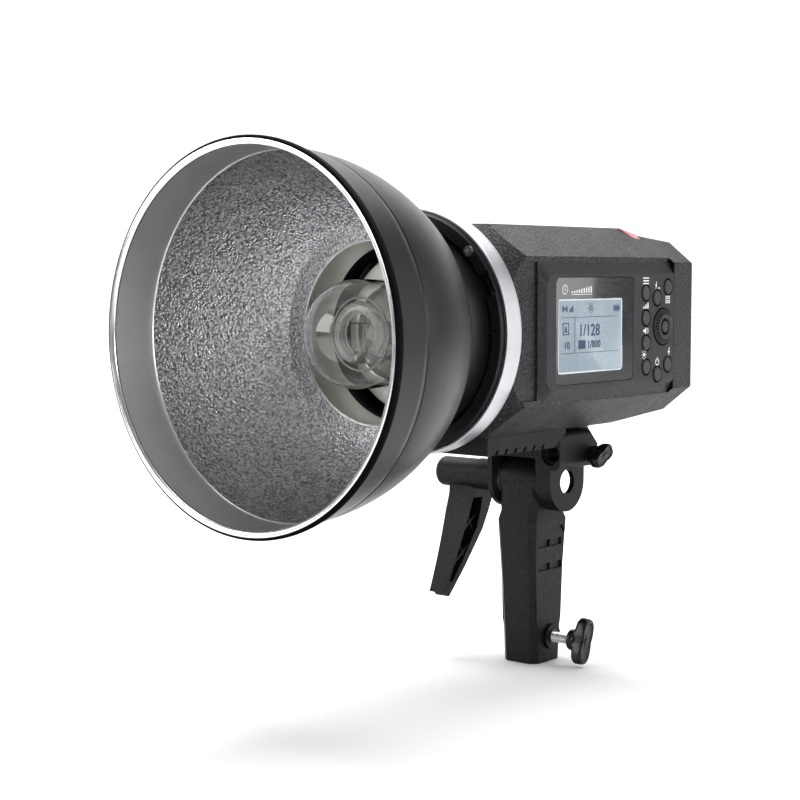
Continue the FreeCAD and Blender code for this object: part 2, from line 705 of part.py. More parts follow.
def lamp_base():
    body = start_body("lamp_base", "axis_height")
    spin_y(body, outline([
        ("base_front", "0"), ("base_front", "base_radius - 1"), ("base_front + 1", "base_radius"),
        ("base_back", "base_radius"), ("base_back", "0")]))
    add(body, "Y", "base_front - 9", "base_front", disc("9"))
    return body


def lamp_carrier():
    """Metal plate behind the mount opening that carries the lamp base, with its dark gasket."""
    plate = DOC.addObject("PartDesign::Body", "carrier_plate")
    bind(plate, ".Placement.Base.z", "axis_height")
    add(plate, "Y", "casing_front - 0.3", "casing_front + 3.2", disc("lamp_opening - gap"))
    cut(plate, "Y", "casing_front - 0.3", "casing_front + 3.2", *[
        disc("2.2", *around("18", angle)) for angle in (0, 90, 180, 270)])
    gasket = DOC.addObject("PartDesign::Body", "gasket_ring")
    bind(gasket, ".Placement.Base.z", "axis_height")
    spin_y(gasket, box("casing_front - 8.6", "base_radius + 0.4", "casing_front - 0.4", "41.6"))
    node("lamp_carrier", group("lamp_carrier", [plate, gasket]))


def flash_tube():
    """Open ring of quartz tube with two straight legs that enter the base."""
    ring = DOC.addObject("Part::Torus", "flash_ring")
    bind(ring, "Radius1", "tube_ring")
    bind(ring, "Radius2", "tube_radius")
    ring.Angle3 = 320
    turn_open = FreeCAD.Rotation(FreeCAD.Vector(0, 0, 1), 110)
    ring.Placement = FreeCAD.Placement(FreeCAD.Vector(), AIM["Y"] * turn_open)
    put(ring, "0", "tube_y", "axis_height")
    legs = []
    for index, angle in enumerate((-110, -70)):
        x, z = around("tube_ring", angle)
        legs.append(rod(f"tube_leg_{index}", "Y", "tube_radius - 0.4", "base_front - tube_y - 0.1",
                        x, "tube_y", f"axis_height + {z}"))
    node("flash_tube", join("flash_tube", ring, *legs))


def modelling_lamp():
    stem = rod("modelling_stem", "Y", "6", "12", "0", "base_front - 21.2", "axis_height")
    cap = DOC.addObject("Part::Sphere", "modelling_cap")
    bind(cap, "Radius", "6")
    put(cap, "0", "base_front - 21.2", "axis_height")
    node("modelling_lamp", join("modelling_lamp", stem, cap))


def trigger_wire():
    """Thin wire hoop held just outside the flash tube, with its two leads."""
    hoop = DOC.addObject("Part::Torus", "trigger_hoop")
    bind(hoop, "Radius1", "tube_ring + tube_radius + 1.6")
    bind(hoop, "Radius2", "0.5")
    hoop.Placement = FreeCAD.Placement(FreeCAD.Vector(), AIM["Y"])
    put(hoop, "0", "tube_y", "axis_height")
    leads = []
    for index, angle in enumerate((15, 165)):
        x, z = around("tube_ring + tube_radius + 1.6", angle)
        leads.append(rod(f"trigger_lead_{index}", "Y", "0.4", "base_front - tube_y - 0.1", x,
                         "tube_y", f"axis_height + {z}"))
    node("trigger_wire", join("trigger_wire", hoop, *leads))


# ---- inside the casing ---------------------------------------------------------------------

def chassis():
    """Folded steel tray that the capacitors and boards stand on."""
    floor = block("chassis_floor", "64", "126", "1.6", "0 - 24", "0 - 86", "axis_height - 46")
    post = block("chassis_wall", "60", "1.6", "66", "0 - 22", "0 - 87.6", "axis_height - 46")
    node("chassis", join("chassis", floor, post))


def capacitors():
    places = (("0 - 9.5", "0 - 28"), ("24", "0 - 28"), ("8", "5"), ("0 - 9.5", "33"))
    cans = [rod(f"capacitor_{i}", "Y", "15", "58", x, "0 - 82", f"axis_height + {z}")
            for i, (x, z) in enumerate(places)]
    node("capacitor_bank", group("capacitor_bank", cans))


def boards():
    node("main_board", block("main_board", "62", "1.6", "72", "0 - 24", "2", "axis_height - 43"))
    transformer = block("inverter_transformer", "26", "22", "24", "14", "0 - 22",
                        "axis_height - 44")
    coil = rod("trigger_coil", "Y", "9", "18", "34", "0 - 20", "axis_height + 24")
    node("wound_parts", group("wound_parts", [transformer, coil]))
    base = block("sink_base", "44", "3", "30", "0 - 22", "4", "axis_height - 38")
    fins = [block(f"sink_fin_{i}", "1.6", "9", "30", f"0 - 22 + {i * 6.05}", "6.9",
                  "axis_height - 38") for i in range(8)]
    node("heat_sink", join("heat_sink", base, *fins))


def cooling_fan():
    frame = block("fan_block", "52", "12", "52", "0 - 26", "fan_y", "axis_height - 14")
    bore = rod("fan_bore", "Y", "fan_radius + 1.4", "13", "0", "fan_y - 0.5", "axis_height + 12")
    ring = take_away("fan_ring", frame, bore)
    spider = block("fan_bridge", "50", "1.6", "5", "0 - 25", "fan_y", "axis_height + 9.5")
    pin = rod("fan_pin", "Y", "1.5", "10.6", "0", "fan_y", "axis_height + 12")
    node("fan_frame", join("fan_frame", ring, spider, pin))


def fan_rotor():
    """Hub with seven slanted blades on the fan's own pin."""
    body = start_body("fan_rotor", "axis_height + 12")
    add(body, "Y", "fan_y + 2.4", "fan_y + 10.8", disc("9"))
    blade = add(body, "X", "8", "fan_radius - 0.8", outline([
        ("fan_y + 3.2", "0 - 3.4"), ("fan_y + 4.6", "0 - 3.4"),
        ("fan_y + 10", "3.4"), ("fan_y + 8.6", "3.4")]))
    blades = body.newObject("PartDesign::PolarPattern", "fan_blades")
    blades.Originals = [blade]
    blades.Axis = (next(f for f in body.Origin.OriginFeatures if f.Role == "Y_Axis"), [""])
    blades.Angle = 360
    blades.Occurrences = 7
    body.Tip = blades
    blades.recompute()
    cut(body, "Y", "fan_y", "fan_y + 12", disc("1.55"))


# ---- battery -------------------------------------------------------------------------------

def battery():
    body = start_body("battery_pack", "axis_height")
    add(body, "X", "0 - pack_face", "0 - pack_face + pack_depth",
        rounded("pack_front", "pack_low", "pack_back", "pack_high", "2"))
    soften(body, "1.5", at_place("X", "0 - pack_face"))
    cut(body, "X", "0 - pack_face", "0 - pack_face + 1.6",
        *[box(f"pack_back - {6 + 4 * i}", "0 - 16", f"pack_back - {4 + 4 * i}", "16") for i in range(4)])
    return body


def battery_bay():
    """Open-sided tray that the pack slides into."""
    body = start_body("battery_bay", "axis_height")
    inner = "0 - pack_face + pack_depth"
    add(body, "X", "0 - casing_side + wall + hair", f"{inner} + 2.3",
        box("pack_front - 2", "pack_low - 2", "pack_back + 2", "pack_high + 2"))
    cut(body, "X", "0 - casing_side", f"{inner} + gap",
        box("pack_front - gap", "pack_low - gap", "pack_back + gap", "pack_high + gap"))
    return body


def battery_latch():
    body = start_body("battery_latch", "axis_height")
    add(body, "X", "0 - casing_side - 2.4", "0 - casing_side - hair",
        rounded("32", "0 - 7", "44", "7", "2"))
    return body


# ---- bracket -------------------------------------------------------------------------------

SKIRT_SCREWS = (("0 - 27", "0 - 82"), ("27", "0 - 82"), ("0 - 27", "0 - 40"), ("27", "0 - 40"))


def screw_holes():
    return [disc("1.7", x, y) for x, y in SKIRT_SCREWS]


def bracket_skirt():
    """Shallow inverted tray under the casing, with six slanted slots in each flank."""
    body = start_body("bracket_skirt")
    add(body, "X", "0 - skirt_side", "skirt_side", outline([
        ("skirt_front", "skirt_low"), ("skirt_rear", "skirt_low"),
        ("skirt_rear_top", "skirt_high - flange_thick"), ("skirt_rear_top", "skirt_high"),
        ("skirt_front", "skirt_high")]))
    cut(body, "Z", "skirt_low - 1", "skirt_high - 2.6", box(
        "0 - skirt_side + wall", "skirt_front + wall", "skirt_side - wall", "skirt_rear_top"))
    add(body, "X", "0 - flange_side", "flange_side", box(
        "skirt_rear_top - 1", "skirt_high - flange_thick", "flange_rear", "skirt_high"))
    slots = []
    for step in range(6):
        start = f"(skirt_front + {6.0 + 8.2 * step})"
        slots.append(outline([
            (start, "skirt_low - 0.1"), (f"{start} + 2", "skirt_low - 0.1"),
            (f"{start} + 3.8", "skirt_low + 2.6"), (f"{start} + 2", "skirt_low + 2.6")]))
    cut(body, "X", "0 - skirt_side", "skirt_side", *slots)
    cut(body, "Z", "skirt_high - 3", "skirt_high", *screw_holes())
    return body


def yoke():
    """Clevis block with a holder for an umbrella shaft, and the near cheek with its open eye."""
    body = DOC.addObject("PartDesign::Body", "yoke_block")
    for start, stop, low, rear in (("far_ear_out", "near_ear_out", "yoke_low", "yoke_rear"),
                                   ("near_ear_in", "yoke_side", "holder_low", "holder_rear")):
        add(body, "X", start, stop, outline([
            ("yoke_front", low), (rear, low), (rear, "yoke_high - yoke_chamfer"),
            (f"{rear} - yoke_chamfer", "yoke_high"), ("yoke_front", "yoke_high")]))
    soften(body, "4", lambda e: along("Y")(e) and e.BoundBox.XMax > value("yoke_side") - 0.01)
    ear = [("0 - ear_radius", "pivot_height"), ("ear_radius", "pivot_height"),
           ("ear_radius", "yoke_low + 1"), ("0 - ear_radius", "yoke_low + 1")]
    add(body, "X", "far_ear_out", "far_ear_in", outline(ear))
    add(body, "X", "far_ear_out", "far_ear_in", disc("ear_radius", "0", "pivot_height"))
    hollow = disc("ear_radius - 3.4", "0", "pivot_height - 0.6")
    cut(body, "X", "near_ear_in", "near_ear_web", hollow)
    cut(body, "X", "far_ear_out", "far_ear_in", disc("bolt_radius + gap", "0", "pivot_height"))
    cut(body, "Y", "yoke_front", "yoke_rear", disc("umbrella_radius", "umbrella_x", "umbrella_z"))
    cut(body, "Y", "yoke_front", "yoke_front + 2.5", disc("6", "umbrella_x", "umbrella_z"))
    cut(body, "X", "umbrella_x", "yoke_side", disc("2.55", "umbrella_screw_y", "umbrella_screw_z"))
    cheek = DOC.addObject("PartDesign::Body", "yoke_cheek")
    add(cheek, "X", "near_ear_in", "near_ear_out", outline([
        ("0 - ear_radius", "pivot_height"), ("ear_radius", "pivot_height"),
        ("ear_radius", "holder_low"), ("0 - ear_radius", "holder_low")]))
    add(cheek, "X", "near_ear_in", "near_ear_out", disc("ear_radius", "0", "pivot_height"))
    cut(cheek, "Z", "holder_low", "holder_low + ear_radius",
        box("near_ear_in", "0 - ear_radius", "near_ear_out", "ear_radius"))
    cut(cheek, "X", "near_ear_in", "near_ear_web", hollow)
    cut(cheek, "X", "near_ear_web", "near_ear_out", disc("eye_radius", "0", "pivot_height"))
    cut(cheek, "X", "near_ear_in", "near_ear_web", box(
        "0", "pivot_height - 10", "ear_radius + 1", "holder_low"))
    node("yoke", group("yoke", [body, cheek]))


def bracket_screws():
    screws = [cross_screw(f"bracket_{i}", "Z", "3", "1.6", "1.6", "5", x, y,
                          "skirt_high - 2.6 - 1.7")
              for i, (x, y) in enumerate(SKIRT_SCREWS)]
    node("bracket_screws", group("bracket_screws", screws))


def wing(body, start, stop, y, z, reach, thick, tilt):
    """Two-winged thumb grip about an X axis, tilted by an angle in degrees."""
    lean = math.radians(tilt)
    lift = (math.sin(lean), math.cos(lean))
    side = (math.cos(lean), -math.sin(lean))
    corners = []
    for along_wing, across_wing in ((-reach, -thick * 0.8), (-reach, thick * 0.8), (0, thick),
                                    (reach, thick * 0.8), (reach, -thick * 0.8), (0, -thick)):
        dy = along_wing * lift[0] + across_wing * side[0]
        dz = along_wing * lift[1] + across_wing * side[1]
        corners.append((f"{y} + {dy}", f"{z} + {dz}"))
    add(body, "X", start, stop, outline(corners))


def thumb_screw(label, x_tip, x_knob, x_end, y, z, shank, reach, thick, tilt):
    """A steel shank and a moulded wing knob that turn together behind a sliding brass pad."""
    node(f"{label}_pad", rod(f"{label}_pad", "X", f"{shank} - 0.4", "1.2",
                             f"{x_tip} - 1.2", y, z))
    node(f"{label}_shank", rod(f"{label}_shank", "X", shank, f"{x_knob} + 4 - ({x_tip})",
                               x_tip, y, z))
    body = start_body(f"{label}_knob")
    add(body, "X", x_knob, x_end, disc(f"{thick} + 1.4", y, z))
    wing(body, f"{x_knob} + 3.2", f"{x_end}", y, z, reach, thick, tilt)
    soften(body, "1.4", along("X"))
    cut(body, "X", x_knob, f"{x_knob} + 4.1", disc(f"{shank} + hair", y, z))


# ---- handle --------------------------------------------------------------------------------

def grip_section(half_x, half_y):
    """A cross-section of the grip: a rectangle with cut corners, set a little to the rear."""
    front = f"(grip_back - {half_y})"
    back = f"(grip_back + {half_y})"
    c = "grip_corner"
    return outline([
        (f"{half_x} - {c}", front), (half_x, f"{front} + {c}"), (half_x, f"{back} - {c}"),
        (f"{half_x} - {c}", back), (f"0 - {half_x} + {c}", back),
        (f"0 - {half_x}", f"{back} - {c}"), (f"0 - {half_x}", f"{front} + {c}"),
        (f"0 - {half_x} + {c}", front)])


def side_panel_shape(inset):
    return outline([
        (f"0 - 11.0 + {inset}", "24"), (f"0 - 7.2 + {inset}", f"7 + {inset}", "0 - 2.6"),
        (f"8.6 - {inset}", f"7 + {inset}"), (f"12.6 - {inset}", "24"),
        (f"15.2 - {inset}", "72"), (f"11.8 - {inset}", f"76.4 - {inset}"),
        (f"0 - 9.4 + {inset}", f"76.4 - {inset}"), (f"0 - 13.0 + {inset}", "71")])


def handle_grip():
    body = start_body("handle_grip")
    loft(body, "Z", [("0", grip_section("grip_foot_x", "grip_foot_y")),
                     ("grip_mid", grip_section("grip_mid_x", "grip_mid_y")),
                     ("grip_top", grip_section("grip_top_x", "grip_top_y"))])
    loft(body, "Z", [("grip_top", grip_section("grip_top_x", "grip_top_y")),
                     ("grip_top + 9", grip_section("neck_high", "neck_depth - grip_back"))])
    add(body, "Z", "grip_top - 2", "pivot_height", outline([
        ("neck_high", "neck_corner - neck_depth"), ("neck_high", "neck_depth - neck_corner"),
        ("neck_high - neck_corner", "neck_depth"), ("neck_low + neck_corner", "neck_depth"),
        ("neck_low", "neck_depth - neck_corner"), ("neck_low", "neck_corner - neck_depth"),
        ("neck_low + neck_corner", "0 - neck_depth"),
        ("neck_high - neck_corner", "0 - neck_depth")]))
    add(body, "X", "neck_low", "neck_high", disc("barrel_radius", "0", "pivot_height"))
    cut(body, "Z", "0", "socket_length", disc("sleeve_radius + 0.05"))
    cut(body, "X", "3", "neck_high", box("0 - 6", "pivot_height - 10", "neck_depth",
                                         "pivot_height + barrel_radius"))
    cut(body, "X", "neck_low", "3", disc("bolt_radius + 0.05", "0", "pivot_height"))
    cut(body, "X", "0 - 2", "3", outline([
        (f"{7.5 * math.cos(math.radians(60 * i))}",
         f"pivot_height + {7.5 * math.sin(math.radians(60 * i))}") for i in range(6)]))
    for start, stop in (("grip_foot_x - 1.6", "grip_top_x"), ("0 - grip_top_x", "1.6 - grip_foot_x")):
        cut(body, "X", start, stop, side_panel_shape("0"))
    add(body, "X", "sleeve_radius + 0.6", "boss_face", disc("boss_radius", "clamp_y", "clamp_height"))
    cut(body, "X", "socket_radius", "boss_face", disc("insert_radius + 0.05", "clamp_y",
                                                      "clamp_height"))
    return body


def side_panels():
    """The two inset grip panels, one on each flank, with slots for the fingers."""
    panels = []
    for label, start, stop, outward in (
            ("grip_panel_near", "grip_foot_x - 1.6 + 0.05", "grip_foot_x + 0.3", True),
            ("grip_panel_far", "0 - grip_foot_x - 0.3", "1.55 - grip_foot_x", False)):
        body = DOC.addObject("PartDesign::Body", label)
        panels.append(body)
        add(body, "X", start, stop, side_panel_shape("0.25"))
        slots = []
        for low in (52, 65):
            for left, right in (("0 - 9.6", "1.3"), ("2.1", "12.6")):
                slots.append(box(left, f"{low}", right, f"{low + 4.2}"))
        depth = ("grip_foot_x - 0.9", "grip_foot_x + 0.3") if outward else (
            "0 - grip_foot_x - 0.3", "0.9 - grip_foot_x")
        cut(body, "X", *depth, *slots)
        if outward:
            cut(body, "X", start, stop, disc("boss_radius + 0.2", "clamp_y", "clamp_height"))
    node("grip_panels", group("grip_panels", panels))


def socket_sleeve():
    body = start_body("socket_sleeve")
    add(body, "Z", "0", "socket_length", disc("sleeve_radius"))
    cut(body, "Z", "0", "socket_length", disc("socket_radius"))
    cut(body, "X", "4", "sleeve_radius + 1", disc("3.4", "clamp_y", "clamp_height"))
    return body


def clamp_insert():
    """Brass thread insert held in the boss on the grip."""
    start = "sleeve_radius + 0.25"
    barrel = rod("insert_barrel", "X", "insert_radius", f"boss_face + 0.3 - ({start})", start,
                 "clamp_y", "clamp_height")
    bore = rod("insert_bore", "X", "clamp_shank + 0.05", "8", f"{start} - 1", "clamp_y",
               "clamp_height")
    node("clamp_insert", take_away("clamp_insert", barrel, bore))


def tilt_nut():
    body = start_body("tilt_nut")
    add(body, "X", "0 - 1.9", "2.9", outline([
        (f"{7.2 * math.cos(math.radians(60 * i))}",
         f"pivot_height + {7.2 * math.sin(math.radians(60 * i))}") for i in range(6)]))
    cut(body, "X", "0 - 1.9", "2.9", disc("bolt_radius + 0.05", "0", "pivot_height"))


def rosette():
    """Toothed friction disc on the handle, facing the far ear."""
    body = start_body("friction_rosette")
    add(body, "X", "far_ear_in + 0.3", "neck_low - 0.05", disc("12", "0", "pivot_height"))
    teeth = []
    for step in range(24):
        angle = math.radians(15 * step)
        teeth.append(disc("0.5", f"9.5 * {math.cos(angle)}",
                          f"pivot_height + 9.5 * {math.sin(angle)}"))
    cut(body, "X", "far_ear_in + 0.3", "far_ear_in + 0.9", *teeth)
    cut(body, "X", "far_ear_in", "neck_low", disc("bolt_radius + gap", "0", "pivot_height"))


# ---- tilt lever ----------------------------------------------------------------------------

LEVER = [("9.5", "pivot_height - 2"), ("0 - 4.6", "pivot_height - 2"),
         ("0 - 5.4", "pivot_height - 12", "1.2"),
         ("0 - 27.5", "pivot_height - 66.2", "1.0"), ("0 - 21.6", "pivot_height - 69"),
         ("0 - 8", "pivot_height - 53"), ("6.8", "pivot_height - 33"), ("16.0", "pivot_height - 13")]


def tilt_lever():
    body = start_body("tilt_lever")
    add(body, "X", "lever_far", "lever_near", outline(LEVER))
    for side, sign in (("lever_far", -1), ("lever_near", 1)):
        outer = f"{side} + {2 * sign}"
        inner = f"{side} - {3.4 * sign}"
        cut(body, "Y", "0 - 40", "20", outline([
            (side, "pivot_height - 22"), (outer, "pivot_height - 22"),
            (outer, "pivot_height - 72"), (inner, "pivot_height - 72")]))
    cut(body, "X", "lever_far + 5.5", "lever_near", outline([
        ("5.6", "pivot_height - 14"), ("0 - 3.2", "pivot_height - 14"),
        ("0 - 22.0", "pivot_height - 60"), ("0 - 19.6", "pivot_height - 61"),
        ("0 - 9.6", "pivot_height - 48"), ("1.4", "pivot_height - 31")]))
    for low, high in ((-34, -20), (-50, -38)):
        for first, last in ((low, high), (high, low)):
            front_at = -1.5 + first * 0.25 - abs(first + 14) * 0.12
            back_at = 15.5 + last * 0.45
            add(body, "X", "lever_far + 5", "lever_near - 2.4", outline([
                (f"{front_at}", f"pivot_height + {first}"),
                (f"{back_at}", f"pivot_height + {last}"),
                (f"{back_at}", f"pivot_height + {last - 1.3}"),
                (f"{front_at}", f"pivot_height + {first - 1.3}")]))
    add(body, "X", "hub_far", "hub_near", disc("hub_radius", "0", "pivot_height"))
    soften(body, "2.6", at_place("X", "hub_far"))
    cut(body, "X", "hub_far + 8", "hub_near", disc("bolt_radius + 0.05", "0", "pivot_height"))
    return body


def lever_parts():
    node("tilt_bolt", rod("tilt_bolt", "X", "bolt_radius", "3 - hub_far - 8.2", "hub_far + 8.2",
                          "0", "pivot_height"))
    boss = rod("boss_solid", "X", "hub_radius + 0.4", "far_ear_out - gap - hub_near - 0.1",
               "hub_near + 0.1", "0", "pivot_height")
    bore = rod("boss_bore", "X", "bolt_radius + 0.05", "30", "hub_near - 5", "0", "pivot_height")
    node("pressure_boss", take_away("pressure_boss", boss, bore))


# ---- build ---------------------------------------------------------------------------------

def build():
    main_casing()
    rear_cover()
    sensor_window()
    rear_port_panel()
    power_switch()
    control_panel()
    window()
    screen()
    display_board()
    for index, (y, z) in enumerate(BUTTONS, 1):
        button(f"button_{index}", y, z, "button_radius", "button_rise")
    button("set_button", "dial_y", "dial_z", "(dial_bore - 1.3)", "(dial_rise - 0.3)")
    dial()
    mount_ring()
    bayonet_plate()
    bayonet_screws()
    release_tab()
    reflector_bowl()
    reflector_rim()
    reflector_collar()
    glass_dome()
    lamp_base()
    lamp_carrier()
    flash_tube()
    modelling_lamp()
    trigger_wire()
    chassis()
    capacitors()
    boards()
    cooling_fan()
    fan_rotor()
    battery()
    battery_bay()
    battery_latch()
    bracket_skirt()
    yoke()
    bracket_screws()
    thumb_screw("umbrella_screw", "umbrella_x + umbrella_radius + 1.6", "yoke_side + 1.2",
                "yoke_side + 10.6", "umbrella_screw_y", "umbrella_screw_z", "2.5", 8.5, 4.2, 62)
    handle_grip()
    side_panels()
    socket_sleeve()
    clamp_insert()
    thumb_screw("clamp_screw", "socket_radius + 1.6", "knob_start", "knob_end", "clamp_y",
                "clamp_height", "clamp_shank", 13, 5.0, 15)
    tilt_nut()
    rosette()
    tilt_lever()
    lever_parts()


def check_and_write():
    DOC.recompute()
    for item in DOC.Objects:
        if "Invalid" in item.State or "Error" in item.State:
            raise SystemExit(f"{item.Name} failed: {item.State}")
    os.makedirs("parts", exist_ok=True)
    for item in NODES:
        shape = item.Shape
        if shape.isNull() or not shape.isValid() or not shape.Solids:
            raise SystemExit(f"{item.Label} is not a valid solid")
        shape.exportStep(f"parts/{item.Label}.step")
    print(len(NODES), "nodes written")


fill_sheet()
build()
check_and_write()
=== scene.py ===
import json
import math

import bmesh
import bpy
from mathutils import Matrix, Vector, geometry, noise


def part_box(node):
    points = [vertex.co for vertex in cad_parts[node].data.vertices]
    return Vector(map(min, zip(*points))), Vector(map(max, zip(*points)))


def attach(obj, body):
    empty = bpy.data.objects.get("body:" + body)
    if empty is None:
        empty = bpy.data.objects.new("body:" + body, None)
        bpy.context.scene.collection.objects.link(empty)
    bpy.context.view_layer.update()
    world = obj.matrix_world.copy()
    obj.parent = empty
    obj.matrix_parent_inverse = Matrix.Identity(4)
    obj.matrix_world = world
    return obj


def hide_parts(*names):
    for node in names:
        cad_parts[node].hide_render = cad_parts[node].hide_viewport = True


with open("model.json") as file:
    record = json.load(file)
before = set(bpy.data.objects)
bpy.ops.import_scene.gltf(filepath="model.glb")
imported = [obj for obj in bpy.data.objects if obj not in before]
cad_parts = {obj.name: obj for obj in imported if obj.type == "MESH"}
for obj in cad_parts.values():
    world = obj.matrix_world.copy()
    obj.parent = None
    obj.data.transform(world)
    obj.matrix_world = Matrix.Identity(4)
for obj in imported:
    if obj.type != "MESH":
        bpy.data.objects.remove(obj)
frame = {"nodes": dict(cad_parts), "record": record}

# Everything is in metres in the row frame: +Z up, the flash fires along -Y, the panel faces +X.
MM = 0.001
TAU = 2 * math.pi
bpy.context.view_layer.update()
RECORD = frame["record"]
SLOT_OF = {part["node"]: part["material_slot"] for part in RECORD["subparts"]}
BODY_OF = {n: body for body, nodes in RECORD["behaviour"]["bodies"].items() for n in nodes}


def low(node):
    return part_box(node)[0]


def high(node):
    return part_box(node)[1]


AXIS = (low("mount_ring").z + high("mount_ring").z) / 2


# ---- materials --------------------------------------------------------------------------------

class Nodes:
    """A small helper that adds and links the nodes of one material."""

    def __init__(self, name):
        self.material = bpy.data.materials.new(name)
        self.material.use_nodes = True
        self.tree = self.material.node_tree
        self.shader = next(n for n in self.tree.nodes if n.type == "BSDF_PRINCIPLED")
        self.place = self.add("ShaderNodeTexCoord").outputs["Object"]

    def add(self, kind, **settings):
        node = self.tree.nodes.new(kind)
        for key, setting in settings.items():
            setattr(node, key, setting)
        return node

    def link(self, source, target):
        self.tree.links.new(source, target)

    def noise(self, scale, detail=3.0, roughness=0.55, place=None):
        node = self.add("ShaderNodeTexNoise")
        node.inputs["Scale"].default_value = scale
        node.inputs["Detail"].default_value = detail
        node.inputs["Roughness"].default_value = roughness
        self.link(place or self.place, node.inputs["Vector"])
        return node.outputs["Fac"]

    def cells(self, scale, feature="F1", place=None):
        node = self.add("ShaderNodeTexVoronoi", feature=feature)
        node.inputs["Scale"].default_value = scale
        self.link(place or self.place, node.inputs["Vector"])
        return node.outputs["Distance"]

    def stretched(self, x, y, z):
        """Object coordinates scaled by axis, for grain that runs one way."""
        node = self.add("ShaderNodeMapping")
        node.inputs["Scale"].default_value = (x, y, z)
        self.link(self.place, node.inputs["Vector"])
        return node.outputs["Vector"]

    def ramp(self, factor, *stops):
        node = self.add("ShaderNodeValToRGB")
        band = node.color_ramp
        while len(band.elements) < len(stops):
            band.elements.new(0.5)
        for element, (place, colour) in zip(band.elements, stops):
            element.position = place
            element.color = (*colour, 1)
        self.link(factor, node.inputs["Fac"])
        return node.outputs["Color"]

    def clouds(self, scale, detail, dark, light):
        """Two tones that drift into each other."""
        return self.ramp(self.noise(scale, detail), (0.3, dark), (0.7, light))

    def span(self, factor, start, stop, from_low=0.3, from_high=0.7):
        node = self.add("ShaderNodeMapRange")
        node.inputs["From Min"].default_value = from_low
        node.inputs["From Max"].default_value = from_high
        node.inputs["To Min"].default_value = start
        node.inputs["To Max"].default_value = stop
        self.link(factor, node.inputs["Value"])
        return node.outputs["Result"]

    def mix(self, factor, first, second):
        node = self.add("ShaderNodeMix", data_type="RGBA")
        self.link(factor, node.inputs[0])
        for socket, colour in ((node.inputs[6], first), (node.inputs[7], second)):
            if isinstance(colour, tuple):
                socket.default_value = (*colour, 1)
            else:
                self.link(colour, socket)
        return node.outputs[2]

    def math(self, operation, first, second):
        node = self.add("ShaderNodeMath", operation=operation)
        for socket, item in zip(node.inputs, (first, second)):
            if isinstance(item, (int, float)):
                socket.default_value = item
            else:
                self.link(item, socket)
        return node.outputs[0]

    def edges(self, radius):
        """1 along the edges of the piece and 0 on its flats."""
        rounded = self.add("ShaderNodeBevel", samples=4)
        rounded.inputs["Radius"].default_value = radius
        flat = self.add("ShaderNodeNewGeometry")
        dot = self.add("ShaderNodeVectorMath", operation="DOT_PRODUCT")
        self.link(rounded.outputs["Normal"], dot.inputs[0])
        self.link(flat.outputs["Normal"], dot.inputs[1])
        return self.span(dot.outputs["Value"], 1.0, 0.0, 0.80, 0.985)

    def painted_underside_shade(self):
        """Painted shade on downward faces: 1 on walls and tops, falling to a fraction underneath."""
        split = self.add("ShaderNodeSeparateXYZ")
        self.link(self.add("ShaderNodeTexCoord").outputs["Normal"], split.inputs[0])
        return self.span(split.outputs["Z"], 0.22, 1.0, -0.6, -0.1)

    def bump(self, *layers):
        """Stacks bump layers, each a (height, depth in metres) pair."""
        normal = None
        for height, depth in layers:
            node = self.add("ShaderNodeBump")
            node.inputs["Strength"].default_value = 1.0
            node.inputs["Distance"].default_value = depth
            self.link(height, node.inputs["Height"])
            if normal:
                self.link(normal, node.inputs["Normal"])
            normal = node.outputs["Normal"]
        self.link(normal, self.shader.inputs["Normal"])

    def set(self, **values):
        for key, setting in values.items():
            socket = self.shader.inputs[key.replace("_", " ")]
            if isinstance(setting, tuple):
                socket.default_value = (*setting, 1) if len(setting) == 3 else setting
            elif isinstance(setting, (int, float)):
                socket.default_value = setting
            else:
                self.link(setting, socket)
        return self


def tint(colour, factor):
    return tuple(min(channel * factor, 1.0) for channel in colour)


def plastic(name, colour, rough, grain, depth, wear=0.25, coat=0.0, fleck=1.35, sheen=0.3):
    """Moulded plastic or paint, with its grain's size and depth in millimetres.

    It has fine grain, clouds of tone, worn edges and faint smudges.
    """
    m = Nodes(name)
    grain, depth = grain * MM, depth * MM
    fine = m.noise(1 / grain, 2, 0.6)
    tone = m.clouds(45, 4, tint(colour, 0.82), tint(colour, 1.18))
    flecked = m.mix(m.span(fine, 0, 0.8, 0.54, 0.70), tone, tint(colour, fleck * 1.6))
    edge = m.math("MULTIPLY", m.edges(0.9 * MM), m.span(m.noise(420, 3), 0.0, wear, 0.35, 0.7))
    m.set(Base_Color=m.mix(edge, flecked, tint(colour, 4.5)))
    smudge = m.span(m.noise(28, 5, 0.65), rough - 0.05, rough + 0.06)
    m.set(Roughness=m.math("SUBTRACT", smudge, m.math("MULTIPLY", edge, 0.12)))
    m.bump((fine, depth), (m.noise(160, 2), depth * 0.5))
    sparkle = m.span(m.noise(1.5 / grain, 1, 0.5), sheen * 0.45, sheen * 1.75, 0.40, 0.62)
    # The reflection's strength is cut on downward faces: painted shade underneath.
    m.set(Specular_IOR_Level=m.math("MULTIPLY", sparkle, m.painted_underside_shade()))
    m.set(Coat_Weight=coat, Coat_Roughness=0.22)
    return m.material


def metal(name, colour, rough, scratch=(1, 1, 1), grain=0.35, depth=0.01, wear=0.0):
    """Bare or plated metal with a directional grain, in millimetres, and an uneven polish."""
    m = Nodes(name)
    grain, depth = grain * MM, depth * MM
    run = m.noise(1 / grain, 3, 0.6, m.stretched(*scratch))
    stain = m.noise(38, 4)
    tone = m.ramp(stain, (0.3, tint(colour, 0.90)), (0.7, tint(colour, 1.06)))
    edge = m.edges(0.6 * MM)
    m.set(Base_Color=m.mix(m.math("MULTIPLY", edge, wear), tone, tint(colour, 1.35)), Metallic=1.0)
    m.set(Roughness=m.math("ADD", m.span(run, rough - 0.06, rough + 0.07),
                           m.span(stain, -0.02, 0.03)))
    m.bump((run, depth))
    return m.material


